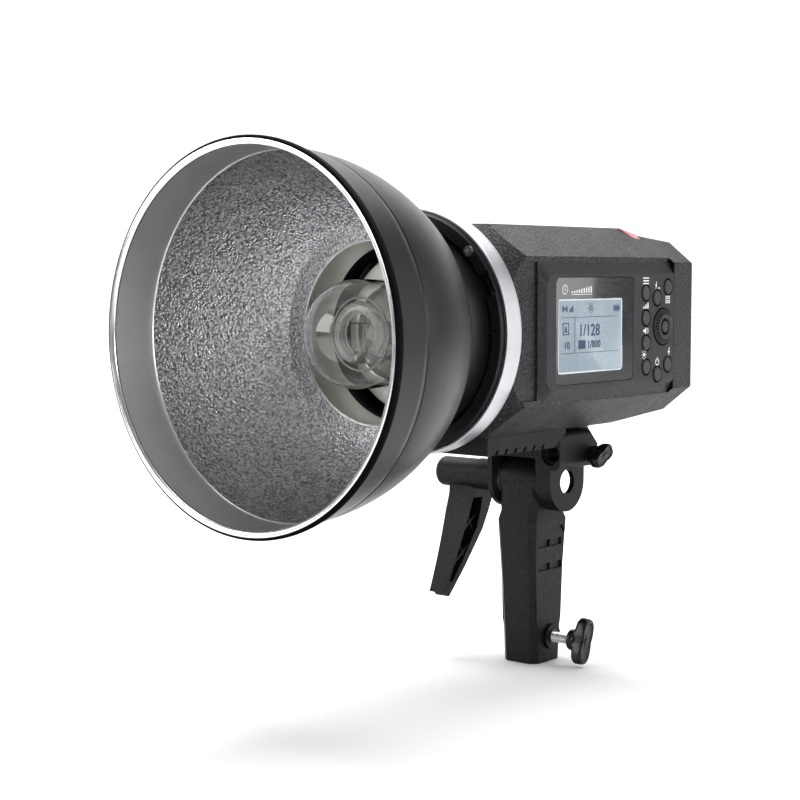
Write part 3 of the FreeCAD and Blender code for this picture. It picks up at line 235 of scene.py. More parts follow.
def spun_black():
    """Outside of the dish: satin black paint over spun metal, with faint turning lines."""
    m = Nodes("dish_paint")
    lines = m.noise(5200, 1, 0.4, m.stretched(0.02, 1, 0.02))
    broad = m.noise(900, 2, 0.5, m.stretched(0.01, 1, 0.01))
    tone = m.clouds(26, 4, (0.004, 0.004, 0.0045), (0.007, 0.007, 0.008))
    m.set(Base_Color=tone, Roughness=m.span(broad, 0.30, 0.36), Specular_IOR_Level=0.27)
    m.bump((lines, 0.006 * MM), (broad, 0.006 * MM), (m.noise(2500, 2), 0.008 * MM))
    return m.material


def hammered_silver():
    """Inside of the dish: bright metal pressed all over with small pebbles."""
    m = Nodes("dish_pebbled")
    pebbles = m.cells(880, "SMOOTH_F1")
    small = m.noise(1500, 1, 0.4)
    broad = m.noise(160, 3)
    # Painted highlight and shade: each pebble is light at its centre and dark at its rim, on top of its
    # bump.
    tone = m.ramp(pebbles, (0.12, (0.86, 0.86, 0.87)), (0.62, (0.30, 0.30, 0.31)))
    m.set(Base_Color=tone, Metallic=1.0, Roughness=m.span(broad, 0.22, 0.32))
    m.bump((pebbles, 0.60 * MM), (small, 0.30 * MM))
    return m.material


def satin_band():
    """The smooth band inside the rim of the dish."""
    m = Nodes("dish_band")
    lines = m.noise(2600, 2, 0.5, m.stretched(0.03, 1, 0.03))
    tone = m.clouds(30, 4, (0.66, 0.66, 0.66), (0.76, 0.76, 0.75))
    m.set(Base_Color=tone, Metallic=1.0, Roughness=m.span(lines, 0.30, 0.42))
    m.bump((lines, 0.008 * MM), (m.noise(1800, 2), 0.004 * MM))
    return m.material


def glass(name, colour, rough, weight, streak):
    """Clear glass with slight waviness and a trace of haze."""
    m = Nodes(name)
    wave = m.noise(streak, 2)
    m.set(Base_Color=m.ramp(wave, (0.3, tint(colour, 0.97)), (0.7, colour)),
          Roughness=m.span(m.noise(70, 4), rough, rough + 0.03, 0.45, 0.8),
          Transmission_Weight=weight, IOR=1.47)
    m.bump((wave, 0.05 * MM))
    return m.material


def sensor_red():
    m = Nodes("sensor_red")
    ribs = m.noise(1500, 1, 0.3, m.stretched(1, 0.02, 0.02))
    tone = m.clouds(60, 3, (0.40, 0.022, 0.045), (0.60, 0.055, 0.085))
    m.set(Base_Color=tone, Roughness=m.span(ribs, 0.10, 0.2), Transmission_Weight=0.25,
          Coat_Weight=0.6, Coat_Roughness=0.05)
    m.bump((ribs, 0.05 * MM))
    return m.material


def gloss_window():
    """Polished black lens plate with faint dust and hairline rubbing."""
    m = Nodes("window_gloss")
    dust = m.noise(2600, 2, 0.7)
    rub = m.noise(700, 3, 0.6, m.stretched(1, 0.2, 1))
    base = m.mix(m.span(dust, 0, 0.3, 0.66, 0.8), (0.006, 0.006, 0.007), (0.05, 0.05, 0.05))
    m.set(Base_Color=base, Roughness=m.span(rub, 0.05, 0.14), Coat_Weight=0.8,
          Coat_Roughness=0.03)
    m.bump((rub, 0.002 * MM))
    return m.material


def lcd(name, colour, glow):
    """Lit display: a soft uneven back light behind a fine grid of cells."""
    m = Nodes(name)
    grid = m.cells(2100)
    tone = m.clouds(70, 3, tint(colour, 0.9), tint(colour, 1.08))
    dotted = m.mix(m.span(grid, 0.0, 0.12, 0.3, 0.8), tone, tint(colour, 0.9))
    m.set(Base_Color=dotted, Emission_Color=dotted, Emission_Strength=glow,
          Roughness=m.span(m.noise(900, 2), 0.2, 0.3), Coat_Weight=0.7, Coat_Roughness=0.05)
    m.bump((grid, 0.001 * MM))
    return m.material


def ceramic():
    m = Nodes("ceramic_cream")
    speck = m.noise(1500, 3, 0.7)
    tone = m.clouds(90, 4, (0.84, 0.79, 0.67), (0.93, 0.90, 0.81))
    m.set(Base_Color=m.mix(m.span(speck, 0, 0.4, 0.6, 0.75), tone, (0.45, 0.38, 0.27)),
          Roughness=m.span(speck, 0.45, 0.6), Coat_Weight=0.15, Coat_Roughness=0.3)
    m.bump((speck, 0.03 * MM))
    return m.material


def board():
    """Solder mask with copper runs under it and small bright pads."""
    m = Nodes("board_green")
    runs = m.cells(320, "DISTANCE_TO_EDGE", m.stretched(1, 1, 1.6))
    pads = m.cells(520)
    mask = m.mix(m.span(runs, 1, 0, 0.02, 0.08), (0.012, 0.10, 0.045), (0.03, 0.20, 0.09))
    solder = m.span(pads, 1, 0, 0.10, 0.16)
    m.set(Base_Color=m.mix(solder, mask, (0.62, 0.62, 0.60)), Metallic=solder,
          Roughness=m.span(m.noise(200, 3), 0.28, 0.42))
    m.bump((runs, 0.02 * MM), (pads, 0.03 * MM))
    return m.material


def print_ink(name, colour):
    m = Nodes(name)
    worn = m.noise(1300, 3, 0.7)
    m.set(Base_Color=m.ramp(worn, (0.25, tint(colour, 0.72)), (0.5, colour)),
          Roughness=m.span(worn, 0.45, 0.6))
    m.bump((worn, 0.004 * MM))
    return m.material


def stage_paper():
    m = Nodes("stage_paper")
    m.set(Base_Color=m.clouds(3, 3, (0.86, 0.86, 0.86), (0.88, 0.88, 0.88)),
          Roughness=m.span(m.noise(40, 2), 0.75, 0.85))
    m.bump((m.noise(900, 2), 0.02 * MM))
    return m.material


AROUND = (0.02, 1, 0.02)
MATERIALS = {
    "casing_plastic": plastic("casing_plastic", (0.0085, 0.0085, 0.0095), 0.42, 1.15,
                              0.42, 0.35, fleck=3.4, sheen=0.34),
    "panel_plastic": plastic("panel_plastic", (0.017, 0.017, 0.0195), 0.42, 0.5, 0.06,
                             fleck=1.6, sheen=0.26),
    "window_gloss": gloss_window(),
    "screen_glass": lcd("screen_glass", (0.24, 0.30, 0.35), 0.08),
    "key_rubber": plastic("key_rubber", (0.030, 0.030, 0.032), 0.40, 0.20, 0.02, 0.5),
    "ring_aluminium": metal("ring_aluminium", (0.56, 0.56, 0.58), 0.36, (1, 1, 1), 0.45, 0.08, 0.2),
    "plate_black": plastic("plate_black", (0.006, 0.006, 0.007), 0.38, 0.30, 0.03, 0.5),
    "dish_metal": hammered_silver(),
    "rim_bright": metal("rim_bright", (0.90, 0.90, 0.91), 0.13, AROUND, 0.12, 0.004),
    "collar_black": plastic("collar_black", (0.006, 0.006, 0.007), 0.36, 0.30, 0.02),
    "clear_glass": glass("clear_glass", (0.99, 0.995, 0.99), 0.0, 1.0, 60),
    "quartz": glass("quartz", (0.97, 0.96, 0.93), 0.02, 0.80, 180),
    "ceramic_cream": ceramic(),
    "nickel_wire": metal("nickel_wire", (0.62, 0.58, 0.52), 0.30),
    "lamp_white": glass("lamp_white", (0.98, 0.94, 0.84), 0.22, 0.7, 90),
    "steel": metal("steel", (0.66, 0.66, 0.67), 0.24, (1, 0.1, 0.1), 0.22, 0.012, 0.4),
    "brass": metal("brass", (0.74, 0.53, 0.24), 0.30, (1, 0.1, 0.1), 0.22, 0.012, 0.3),
    "grip_plastic": plastic("grip_plastic", (0.0055, 0.0055, 0.006), 0.44, 0.5, 0.05, 0.4, sheen=0.16),
    "knob_plastic": plastic("knob_plastic", (0.005, 0.005, 0.006), 0.30, 0.24, 0.015, 0.35, 0.12),
    "sensor_red": sensor_red(),
    "board_green": board(),
    "capacitor_sleeve": plastic("capacitor_sleeve", (0.02, 0.03, 0.08), 0.3, 0.4, 0.01),
    "chassis_steel": metal("chassis_steel", (0.60, 0.60, 0.61), 0.38, (0.1, 1, 1)),
    "heat_sink_metal": metal("heat_sink_metal", (0.42, 0.42, 0.44), 0.42, (1, 1, 0.05)),
    "fan_plastic": plastic("fan_plastic", (0.02, 0.02, 0.02), 0.5, 0.4, 0.03),
    "bracket_metal": plastic("bracket_metal", (0.0055, 0.0055, 0.006), 0.45, 0.5, 0.05,
                             0.4, sheen=0.16),
}
DISH_PAINT = spun_black()
DISH_BAND = satin_band()
LABEL_WHITE = print_ink("label_white", (0.80, 0.80, 0.80))
LCD_INK = print_ink("lcd_ink", (0.022, 0.035, 0.11))
LCD_EDGE = lcd("lcd_edge", (0.62, 0.68, 0.72), 0.15)
LINER = metal("throat_liner", (0.94, 0.94, 0.92), 0.34, (0.03, 1, 0.03), 0.3, 0.02)
BACK_PLATE = metal("carrier_plate", (0.90, 0.88, 0.82), 0.45, (1, 1, 1), 0.5, 0.01)
DULL_WIRE = metal("dull_wire", (0.30, 0.29, 0.27), 0.34)
# Near-black for the cover seam and the rim's outer line, and for the painted shadow round the keys.
GAP_BLACK = plastic("gap_black", (0.002, 0.002, 0.002), 0.6, 0.4, 0.01, 0.0, sheen=0.04)


# ---- building pieces --------------------------------------------------------------------------

def show(name, data):
    obj = bpy.data.objects.new(name, data)
    bpy.context.scene.collection.objects.link(obj)
    return obj


def smooth_mesh(name, bm, materials):
    mesh = bpy.data.meshes.new(name)
    bm.to_mesh(mesh)
    bm.free()
    mesh.polygons.foreach_set("use_smooth", [True] * len(mesh.polygons))
    for material in materials:
        mesh.materials.append(material)
    return mesh


def piece(name, bm, materials, node, replaces=True, sharp=35):
    """Turns a bmesh into a shown piece that rides with a CAD node's body."""
    bmesh.ops.recalc_face_normals(bm, faces=bm.faces)
    mesh = smooth_mesh(name, bm, materials)
    mesh.set_sharp_from_angle(angle=math.radians(sharp))
    obj = show(name, mesh)
    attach(obj, BODY_OF[node])
    if replaces:
        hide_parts(node)
    return obj


def bridge(rings, close=False, slots=None, bm=None):
    """Faces between successive rings of points, all with the same number of points."""
    bm = bm or bmesh.new()
    loops = [[bm.verts.new(point) for point in ring] for ring in rings]
    count = len(loops[0])
    spans = len(loops) if close else len(loops) - 1
    for span in range(spans):
        first, second = loops[span], loops[(span + 1) % len(loops)]
        for index in range(count):
            after = (index + 1) % count
            face = bm.faces.new((first[index], first[after], second[after], second[index]))
            face.material_index = slots[span] if slots else 0
    if not close:
        bm.faces.new(loops[0])
        bm.faces.new(loops[-1]).material_index = slots[-1] if slots else 0
    return bm


def circle(y, radius, count, ripple=None):
    """A circle of points about the lamp axis."""
    points = []
    for index in range(count):
        angle = TAU * index / count
        reach = radius + (ripple(y, radius, angle) if ripple else 0)
        points.append(Vector((reach * math.cos(angle), y, AXIS + reach * math.sin(angle))))
    return points


def lathe(profile, count, **settings):
    return bridge([circle(y, max(r, 0.02 * MM), count) for y, r in profile], **settings)


def bow(start, end, rise, steps):
    """Points along a shallow arc that stands `rise` to the left of the straight line."""
    across, up = end[0] - start[0], end[1] - start[1]
    length = math.hypot(across, up)
    points = []
    for step in range(steps):
        t = step / steps
        lift = rise * 4 * t * (1 - t)
        points.append((start[0] + across * t - up / length * lift,
                       start[1] + up * t + across / length * lift))
    return points


def softened(node, width, segments=2, angle=34, material=None):
    """A copy of a CAD node with its edges rounded."""
    bm = bmesh.new()
    bm.from_mesh(frame["nodes"][node].data)
    bmesh.ops.remove_doubles(bm, verts=bm.verts, dist=2e-6)
    bmesh.ops.dissolve_limit(bm, angle_limit=math.radians(0.5), verts=bm.verts, edges=bm.edges)
    obj = piece(f"{node}_soft", bm, [material or MATERIALS[SLOT_OF[node]]], node)
    bevel = obj.modifiers.new("round", "BEVEL")
    bevel.width = width
    bevel.segments = segments
    bevel.limit_method = "ANGLE"
    bevel.angle_limit = math.radians(angle)
    obj.modifiers.new("even", "WEIGHTED_NORMAL").keep_sharp = True
    graph = bpy.context.evaluated_depsgraph_get()
    mesh = bpy.data.meshes.new_from_object(obj.evaluated_get(graph))
    obj.modifiers.clear()
    obj.data = mesh
    return obj


def rounded_loop(x, front, bottom, back, top, radius, steps=6):
    """A rounded rectangle in the plane of the control panel."""
    points = []
    corners = ((back - radius, top - radius, 0), (front + radius, top - radius, 90),
               (front + radius, bottom + radius, 180), (back - radius, bottom + radius, 270))
    for y, z, start in corners:
        for step in range(steps + 1):
            angle = math.radians(start + 90 * step / steps)
            points.append(Vector((x, y + radius * math.cos(angle), z + radius * math.sin(angle))))
    return points


def tube(path, radius, count=20):
    """A round tube along a path, carried round the bends without twisting."""
    rings = []
    side = None
    for index, point in enumerate(path):
        before = path[max(index - 1, 0)]
        after = path[min(index + 1, len(path) - 1)]
        ahead = (after - before).normalized()
        if side is None:
            side = ahead.orthogonal().normalized()
        side = (side - ahead * side.dot(ahead)).normalized()
        up = ahead.cross(side)
        reach = radius[index] if isinstance(radius, list) else radius
        rings.append([point + side * reach * math.cos(TAU * i / count)
                      + up * reach * math.sin(TAU * i / count) for i in range(count)])
    return rings


# ---- dish -------------------------------------------------------------------------------------

RIM_FRONT = low("reflector_rim").y
RIM_R = high("bayonet_plate").x + 31.0 * MM
DISH_SEAM = RIM_FRONT + 25.5 * MM
DISH_MID = RIM_FRONT + 67.0 * MM
DISH_FOOT = RIM_FRONT + 92.0 * MM
SEAM_R = 88.0 * MM
MID_R = 77.5 * MM
FOOT_R = 59.5 * MM
MOUTH_R = SEAM_R + 2.2 * MM
SHEET = 1.2 * MM


def pebble(y, radius, angle):
    """Uneven pressing of the bright inside, a few tenths of a millimetre deep."""
    if y < DISH_SEAM + 1.5 * MM:
        return 0
    spot = Vector((radius * math.cos(angle), y, radius * math.sin(angle)))
    return (0.13 * noise.noise(spot / (1.5 * MM)) + 0.03 * noise.noise(spot / (5 * MM))) * MM


def make_dish():
    throat = 46.7 * MM
    groove = 0.35 * MM
    outside = [(RIM_FRONT + 2.2 * MM, MOUTH_R)]
    outside += bow(outside[0], (DISH_SEAM - 0.5 * MM, SEAM_R + 0.05 * MM), 0, 8)[1:]
    outside += [(DISH_SEAM - 0.5 * MM, SEAM_R), (DISH_SEAM - 0.1 * MM, SEAM_R - groove),
                (DISH_SEAM + 0.3 * MM, SEAM_R - groove), (DISH_SEAM + 0.7 * MM, SEAM_R - 0.05 * MM)]
    outside += bow((DISH_SEAM + 0.7 * MM, SEAM_R - 0.05 * MM), (DISH_MID, MID_R), 2.0 * MM, 22)[1:]
    outside += bow((DISH_MID, MID_R), (DISH_FOOT, FOOT_R), 1.9 * MM, 14)
    outside += [(DISH_FOOT, FOOT_R), (DISH_FOOT + 0.6 * MM, FOOT_R - 0.5 * MM),
                (DISH_FOOT + SHEET, FOOT_R - 1.6 * MM), (DISH_FOOT + SHEET, throat)]
    inside = [(DISH_FOOT, throat)]
    inside += bow((DISH_FOOT, throat + 0.2 * MM), (DISH_FOOT, FOOT_R - 2.6 * MM), 0, 9)[1:]
    inside += bow((DISH_FOOT, FOOT_R - 2.6 * MM), (DISH_MID - 0.6 * MM, MID_R - SHEET),
                  -1.9 * MM, 24)
    inside += bow((DISH_MID - 0.6 * MM, MID_R - SHEET), (DISH_SEAM, SEAM_R - SHEET), -2.0 * MM, 34)
    pebbled = len(outside) + len(inside)
    inside += [(DISH_SEAM, SEAM_R - SHEET), (DISH_SEAM - 0.4 * MM, SEAM_R - SHEET + 0.35 * MM)]
    inside += bow((DISH_SEAM - 0.8 * MM, SEAM_R - SHEET + 0.45 * MM),
                  (RIM_FRONT + 2.2 * MM, MOUTH_R - SHEET), 0, 8)
    inside += [(RIM_FRONT + 2.2 * MM, MOUTH_R - SHEET)]
    profile = outside + inside
    slots = [0] * len(outside) + [1] * (pebbled - len(outside)) + [2] * (len(profile) - pebbled)
    rings = [circle(y, r, 400, pebble if len(outside) < index < pebbled else None)
             for index, (y, r) in enumerate(profile)]
    bm = bridge(rings, close=True, slots=slots)
    piece("dish", bm, [DISH_PAINT, MATERIALS["dish_metal"], DISH_BAND], "reflector_bowl")


def make_rim():
    """Rolled bright lip with a thin black line round its outer edge."""
    inner = MOUTH_R - SHEET - 1.2 * MM
    outer = RIM_R
    profile = []
    for step in range(13):
        angle = math.pi * (1 - step / 12)
        middle = (inner + outer) / 2
        reach = (outer - inner) / 2
        profile.append((RIM_FRONT + 1.4 * MM - 1.4 * MM * math.sin(angle),
                        middle + reach * math.cos(angle)))
    profile += [(RIM_FRONT + 2.6 * MM, outer), (RIM_FRONT + 3.8 * MM, outer - 0.2 * MM),
                (RIM_FRONT + 4.0 * MM, MOUTH_R + 0.1 * MM), (RIM_FRONT + 1.9 * MM, MOUTH_R + 0.1 * MM),
                (RIM_FRONT + 1.9 * MM, inner)]
    slots = [0] * 7 + [1] * (len(profile) - 7)
    bm = lathe(profile, 288, close=True, slots=slots)
    piece("rim_lip", bm, [MATERIALS["rim_bright"], GAP_BLACK], "reflector_rim")


def make_collar_bead():
    """A rolled bead where the collar meets the foot of the dish."""
    start = DISH_FOOT + SHEET + 0.3 * MM
    profile = []
    for step in range(12):
        angle = TAU * step / 12
        profile.append((start + 1.0 * MM + 0.9 * MM * math.cos(angle),
                        FOOT_R - 1.6 * MM + 0.9 * MM * math.sin(angle)))
    piece("collar_bead", lathe(profile, 220, close=True), [MATERIALS["collar_black"]],
          "reflector_collar", replaces=False)


def make_throat():
    """Bright liner of the collar, the dark groove behind it and the lamp carrier's face."""
    bore = 45.5 * MM
    end = DISH_FOOT + 19 * MM
    bm = lathe([(DISH_FOOT - 0.25 * MM, bore + 1.3 * MM), (DISH_FOOT - 0.5 * MM, bore + 0.6 * MM),
                (DISH_FOOT - 0.2 * MM, bore - 0.1 * MM), (DISH_FOOT + 1.0 * MM, bore - 0.4 * MM),
                (end, bore - 0.4 * MM), (end, bore - 0.1 * MM),
                (DISH_FOOT + 1.0 * MM, bore - 0.1 * MM), (DISH_FOOT + 0.1 * MM, bore + 0.5 * MM)],
               256, close=True)
    piece("throat_liner", bm, [LINER], "reflector_collar", replaces=False)
    face = low("lamp_carrier").y - 0.5 * MM
    inner = high("lamp_base").x + 0.6 * MM
    outer = bore - 4.2 * MM
    bm = lathe([(face, inner), (face - 0.4 * MM, inner + 0.4 * MM), (face - 0.4 * MM, outer - 0.5 * MM),
                (face, outer), (face + 0.4 * MM, outer), (face + 0.4 * MM, inner)], 160, close=True)
    piece("carrier_face", bm, [BACK_PLATE], "lamp_carrier", replaces=False)
    bm = bmesh.new()
    for angle in (20, 65, 160, 200, 245, 340):
        spin = math.radians(angle)
        middle = (inner + outer) / 2
        place = Vector((middle * math.cos(spin), 0, AXIS + middle * math.sin(spin)))
        rings = []
        for y, r in ((0.4, 4.4), (-0.5, 4.4), (-0.9, 4.0), (-0.9, 3.2), (-0.5, 3.0), (-0.5, 2.2),
                     (-1.2, 2.0), (-1.3, 0.6)):
            rings.append([place + Vector((r * MM * math.cos(TAU * i / 32), face + (y - 0.4) * MM,
                                          r * MM * math.sin(TAU * i / 32))) for i in range(32)])
        bridge(rings, bm=bm)
    piece("carrier_terminals", bm, [BACK_PLATE], "lamp_carrier", replaces=False)


def make_mount_ring():
    front, back = low("mount_ring").y, high("mount_ring").y
    outer = high("mount_ring").x
    inner = high("bayonet_plate").x + 0.1 * MM
    soft = 0.5 * MM

    def corner(y, start):
        """A quarter round that falls from `start` degrees, counted from the back."""
        turns = [math.radians(start - 90 * step / 6) for step in range(7)]
        return [(y + soft * math.cos(t), outer - soft + soft * math.sin(t)) for t in turns]

    profile = [(front + 0.1 * MM, inner), (front, inner + 0.15 * MM)]
    profile += corner(front + soft, 180)
    profile += bow((front + soft, outer), (back - soft, outer), 0, 6)[1:]
    profile += corner(back - soft, 90)
    profile += [(back, inner - 8 * MM), (back - 3.0 * MM, inner - 8 * MM), (back - 3.0 * MM, inner)]
    piece("silver_ring", lathe(profile, 256, close=True), [MATERIALS["ring_aluminium"]],
          "mount_ring")


# ---- lamp -------------------------------------------------------------------------------------

DOME_R = high("glass_dome").x
DOME_TIP = low("glass_dome").y
DOME_BACK = high("glass_dome").y
GLASS_WALL = 1.2 * MM
BASE_FRONT = DOME_BACK + 0.4 * MM
TUBE_R = 13.0 * MM
TUBE_Y = DOME_TIP + DOME_R + 1.5 * MM


def half_dome(radius, steps, outward):
    centre = DOME_TIP + DOME_R
    points = [(centre - radius * math.cos(math.pi / 2 * s / steps),
               radius * math.sin(math.pi / 2 * s / steps)) for s in range(steps + 1)]
    points[0] = (points[0][0], 0.3 * MM)
    return points if outward else points[::-1]


def make_dome():
    inner = DOME_R - GLASS_WALL
    profile = half_dome(DOME_R, 30, True)
    profile += bow((DOME_TIP + DOME_R, DOME_R), (DOME_BACK - 0.4 * MM, DOME_R), 0, 8)[1:]
    profile += [(DOME_BACK - 0.4 * MM, DOME_R), (DOME_BACK, DOME_R - 0.4 * MM), (DOME_BACK, inner)]
    profile += bow((DOME_BACK, inner), (DOME_TIP + DOME_R, inner), 0, 8)[1:]
    profile += half_dome(inner, 30, False)
    bm = lathe(profile, 128)
    piece("dome", bm, [MATERIALS["clear_glass"]], "glass_dome", sharp=60)


def ring_point(angle, y=0.0, radius=TUBE_R):
    return Vector((radius * math.cos(angle), TUBE_Y + y, AXIS + radius * math.sin(angle)))


def make_flash_tube():
    """Quartz ring with two legs that curve back into the base, and metal electrodes in them."""
    start, stop = math.radians(-66), math.radians(246)
    leg = BASE_FRONT - TUBE_Y
    turn_r = 4.0 * MM
    path = []
    for angle, order in ((start, 1), (stop, -1)):
        foot = [ring_point(angle, leg * (1 - t / 8) + turn_r * t / 8) for t in range(8)]
        bend = []
        for step in range(7):
            swing = math.radians(90 * step / 6)
            along_ring = order * turn_r * (1 - math.cos(swing)) / TUBE_R
            bend.append(ring_point(angle + along_ring, turn_r * (1 - math.sin(swing))))
        path.append(foot + bend)
    first, last = path
    edge = turn_r / TUBE_R
    middle = [ring_point(start + edge + (stop - start - 2 * edge) * step / 60) for step in range(1, 60)]
    whole = first + middle + last[::-1]
    piece("quartz_ring", bridge(tube(whole, 3.2 * MM, 24)), [MATERIALS["quartz"]], "flash_tube",
          sharp=60)
    bm = bmesh.new()
    for angle in (start, stop):
        points = [ring_point(angle, leg * t) for t in (0.02, 0.05, 0.30, 0.33, 0.36, 0.98)]
        reach = [0.9 * MM, 1.7 * MM, 1.7 * MM, 1.2 * MM, 0.6 * MM, 0.6 * MM]
        bridge(tube(points, reach, 20), bm=bm)
    piece("electrodes", bm, [MATERIALS["nickel_wire"]], "flash_tube", replaces=False)


def make_modelling_lamp():
    """Small halogen capsule with a coiled filament on two posts."""
    tip = low("modelling_lamp").y
    centre = Vector((0, tip, AXIS))
    outer = high("modelling_lamp").x
    rings = []
    for step in range(14):
        angle = math.pi / 2 * step / 13
        rings.append((tip + outer * (1 - math.cos(angle)), max(outer * math.sin(angle), 0.3 * MM)))
    rings += [(high("modelling_lamp").y - 3 * MM, outer), (high("modelling_lamp").y, outer * 0.7)]
    piece("halogen_capsule", lathe(rings, 48), [MATERIALS["lamp_white"]], "modelling_lamp",
          sharp=60)
    coil = []
    for step in range(121):
        angle = TAU * step / 12
        coil.append(centre + Vector((1.1 * MM * math.cos(angle), 7.5 * MM,
                                     1.1 * MM * math.sin(angle)))
                    + Vector((0.05 * MM * (step - 60), 0, 0)))
    bm = bridge(tube(coil, 0.22 * MM, 8))
    for x in (-3 * MM, 3 * MM):
        bridge(tube([centre + Vector((x, y * MM, 0)) for y in (7, 10, 14, 17)], 0.35 * MM, 10), bm=bm)
    piece("filament", bm, [MATERIALS["nickel_wire"]], "modelling_lamp", replaces=False)


def make_lamp_clips():
    """Spring clips that hold the dome's foot, and the band that carries them."""
    bm = bmesh.new()
    outer = DOME_R + 1.5 * MM
    bridge([circle(DOME_BACK - y * MM, r, 120) for y, r in (
        (4.0, outer - 0.9 * MM), (4.2, outer - 0.4 * MM), (3.6, outer), (0.3, outer),
        (0.1, outer - 0.5 * MM), (0.6, outer - 1.2 * MM))], close=True, bm=bm)
    piece("dome_band", bm, [MATERIALS["nickel_wire"]], "lamp_base", replaces=False)
    bm = bmesh.new()
    for step in range(3):
        angle = math.radians(35 + 120 * step)
        points = [Vector((r * MM * math.cos(angle), DOME_BACK + y * MM, AXIS + r * MM * math.sin(angle)))
                  for y, r in ((0.6, 34), (-1.5, 33.6), (-6, 30.6), (-8.2, 30.2), (-9.5, 31.6))]
        bridge(tube(points, 0.8 * MM, 12), bm=bm)
    piece("dome_springs", bm, [MATERIALS["steel"]], "lamp_base", replaces=False)


# ---- control panel ----------------------------------------------------------------------------

PANEL_X = high("control_panel").x
INK = 0.06 * MM


def make_window():
    """Black lens plate with a clear opening, and the display seen through it."""
    lo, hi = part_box("window")
    s_lo, s_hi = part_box("lcd_module")
    corner, cut, soft = 3.0 * MM, 1.6 * MM, 0.25 * MM
    outer = (lo.y, lo.z, hi.y, hi.z)
    inner = (s_lo.y - 0.4 * MM, s_lo.z - 0.4 * MM, s_hi.y + 0.4 * MM, s_hi.z + 0.4 * MM)

    def loop(x, frame_box, radius, inset=0.0):
        front, bottom, back, top = frame_box
        return rounded_loop(x, front + inset, bottom + inset, back - inset, top - inset,
                            radius - inset if radius > inset else radius)

    rings = [loop(lo.x, outer, corner), loop(hi.x - soft, outer, corner),
             loop(hi.x, outer, corner, soft), loop(hi.x, inner, cut, -soft),
             loop(hi.x - soft, inner, cut), loop(lo.x, inner, cut)]
    piece("lens_plate", bridge(rings, close=True), [MATERIALS["window_gloss"]], "window")
    face = hi.x - 0.35 * MM
    rings = [loop(lo.x - 0.1 * MM, inner, cut, 0.05 * MM), loop(face, inner, cut, 0.05 * MM),
             loop(face, inner, cut, 0.7 * MM), loop(face - 0.05 * MM, inner, cut, 1.0 * MM)]
    piece("display_face", bridge(rings, slots=[0, 0, 1, 1]),
          [LCD_EDGE, MATERIALS["screen_glass"]], "window", replaces=False)
    return inner, face


class Drawing:
    """Flat marks raised a hair above the panel: polygons, strokes and numerals."""

    def __init__(self, x):
        self.x = x
        self.bm = bmesh.new()
        self.pivot = (0, 0)
        self.grow = 1

    def polygon(self, points):
        pivot_y, pivot_z = self.pivot
        for shift in (0, INK):
            ring = [Vector((self.x + shift, pivot_y + (y - pivot_y) * self.grow,
                            pivot_z + (z - pivot_z) * self.grow)) for y, z in points]
            self.bm.faces.new([self.bm.verts.new(p) for p in ring])
        verts = list(self.bm.verts)[-2 * len(points):]
        count = len(points)
        for i in range(count):
            after = (i + 1) % count
            self.bm.faces.new((verts[i], verts[after], verts[count + after], verts[count + i]))

    def bar(self, y, z, width, tall):
        self.polygon([(y, z), (y + width, z), (y + width, z + tall), (y, z + tall)])

    def frame(self, y, z, width, tall, line):
        self.bar(y, z, width, line)
        self.bar(y, z + tall - line, width, line)
        self.bar(y, z + line, line, tall - 2 * line)
        self.bar(y + width - line, z + line, line, tall - 2 * line)

    def arc(self, y, z, radius, line, start=0, stop=360, steps=20):
        places = [math.radians(start + (stop - start) * i / steps) for i in range(steps + 1)]
        for a, b in zip(places, places[1:]):
            self.polygon([(y + r * math.cos(t), z + r * math.sin(t)) for r, t in (
                (radius, a), (radius, b), (radius - line, b), (radius - line, a))])

    def dot(self, y, z, radius):
        self.polygon([(y + radius * math.cos(TAU * i / 12), z + radius * math.sin(TAU * i / 12))
                      for i in range(12)])

    def bolt(self, y, z, size):
        shape = ((0.1, 1.0), (-0.45, -0.1), (-0.05, -0.1), (-0.25, -1.0), (0.45, 0.2),
                 (0.05, 0.2), (0.35, 1.0))
        self.polygon([(y + size * a, z + size * b) for a, b in shape])

    def number(self, text, y, z, size):
        curve = bpy.data.curves.new("numerals", "FONT")
        curve.body = text
        curve.size = size
        curve.extrude = INK / 2
        curve.offset = 0.09 * MM
        curve.resolution_u = 3
        holder = show("numerals", curve)
        graph = bpy.context.evaluated_depsgraph_get()
        graph.update()
        mesh = bpy.data.meshes.new_from_object(holder.evaluated_get(graph))
        upright = Matrix(((0, 0, 1, self.x + INK / 2), (1.02, 0, 0, y), (0, 1, 0, z), (0, 0, 0, 1)))
        mesh.transform(upright)
        self.bm.from_mesh(mesh)
        bpy.data.objects.remove(holder)
        bpy.data.meshes.remove(mesh)
        bpy.data.curves.remove(curve)

    def done(self, name, material, node):
        return piece(name, self.bm, [material], node, replaces=False)


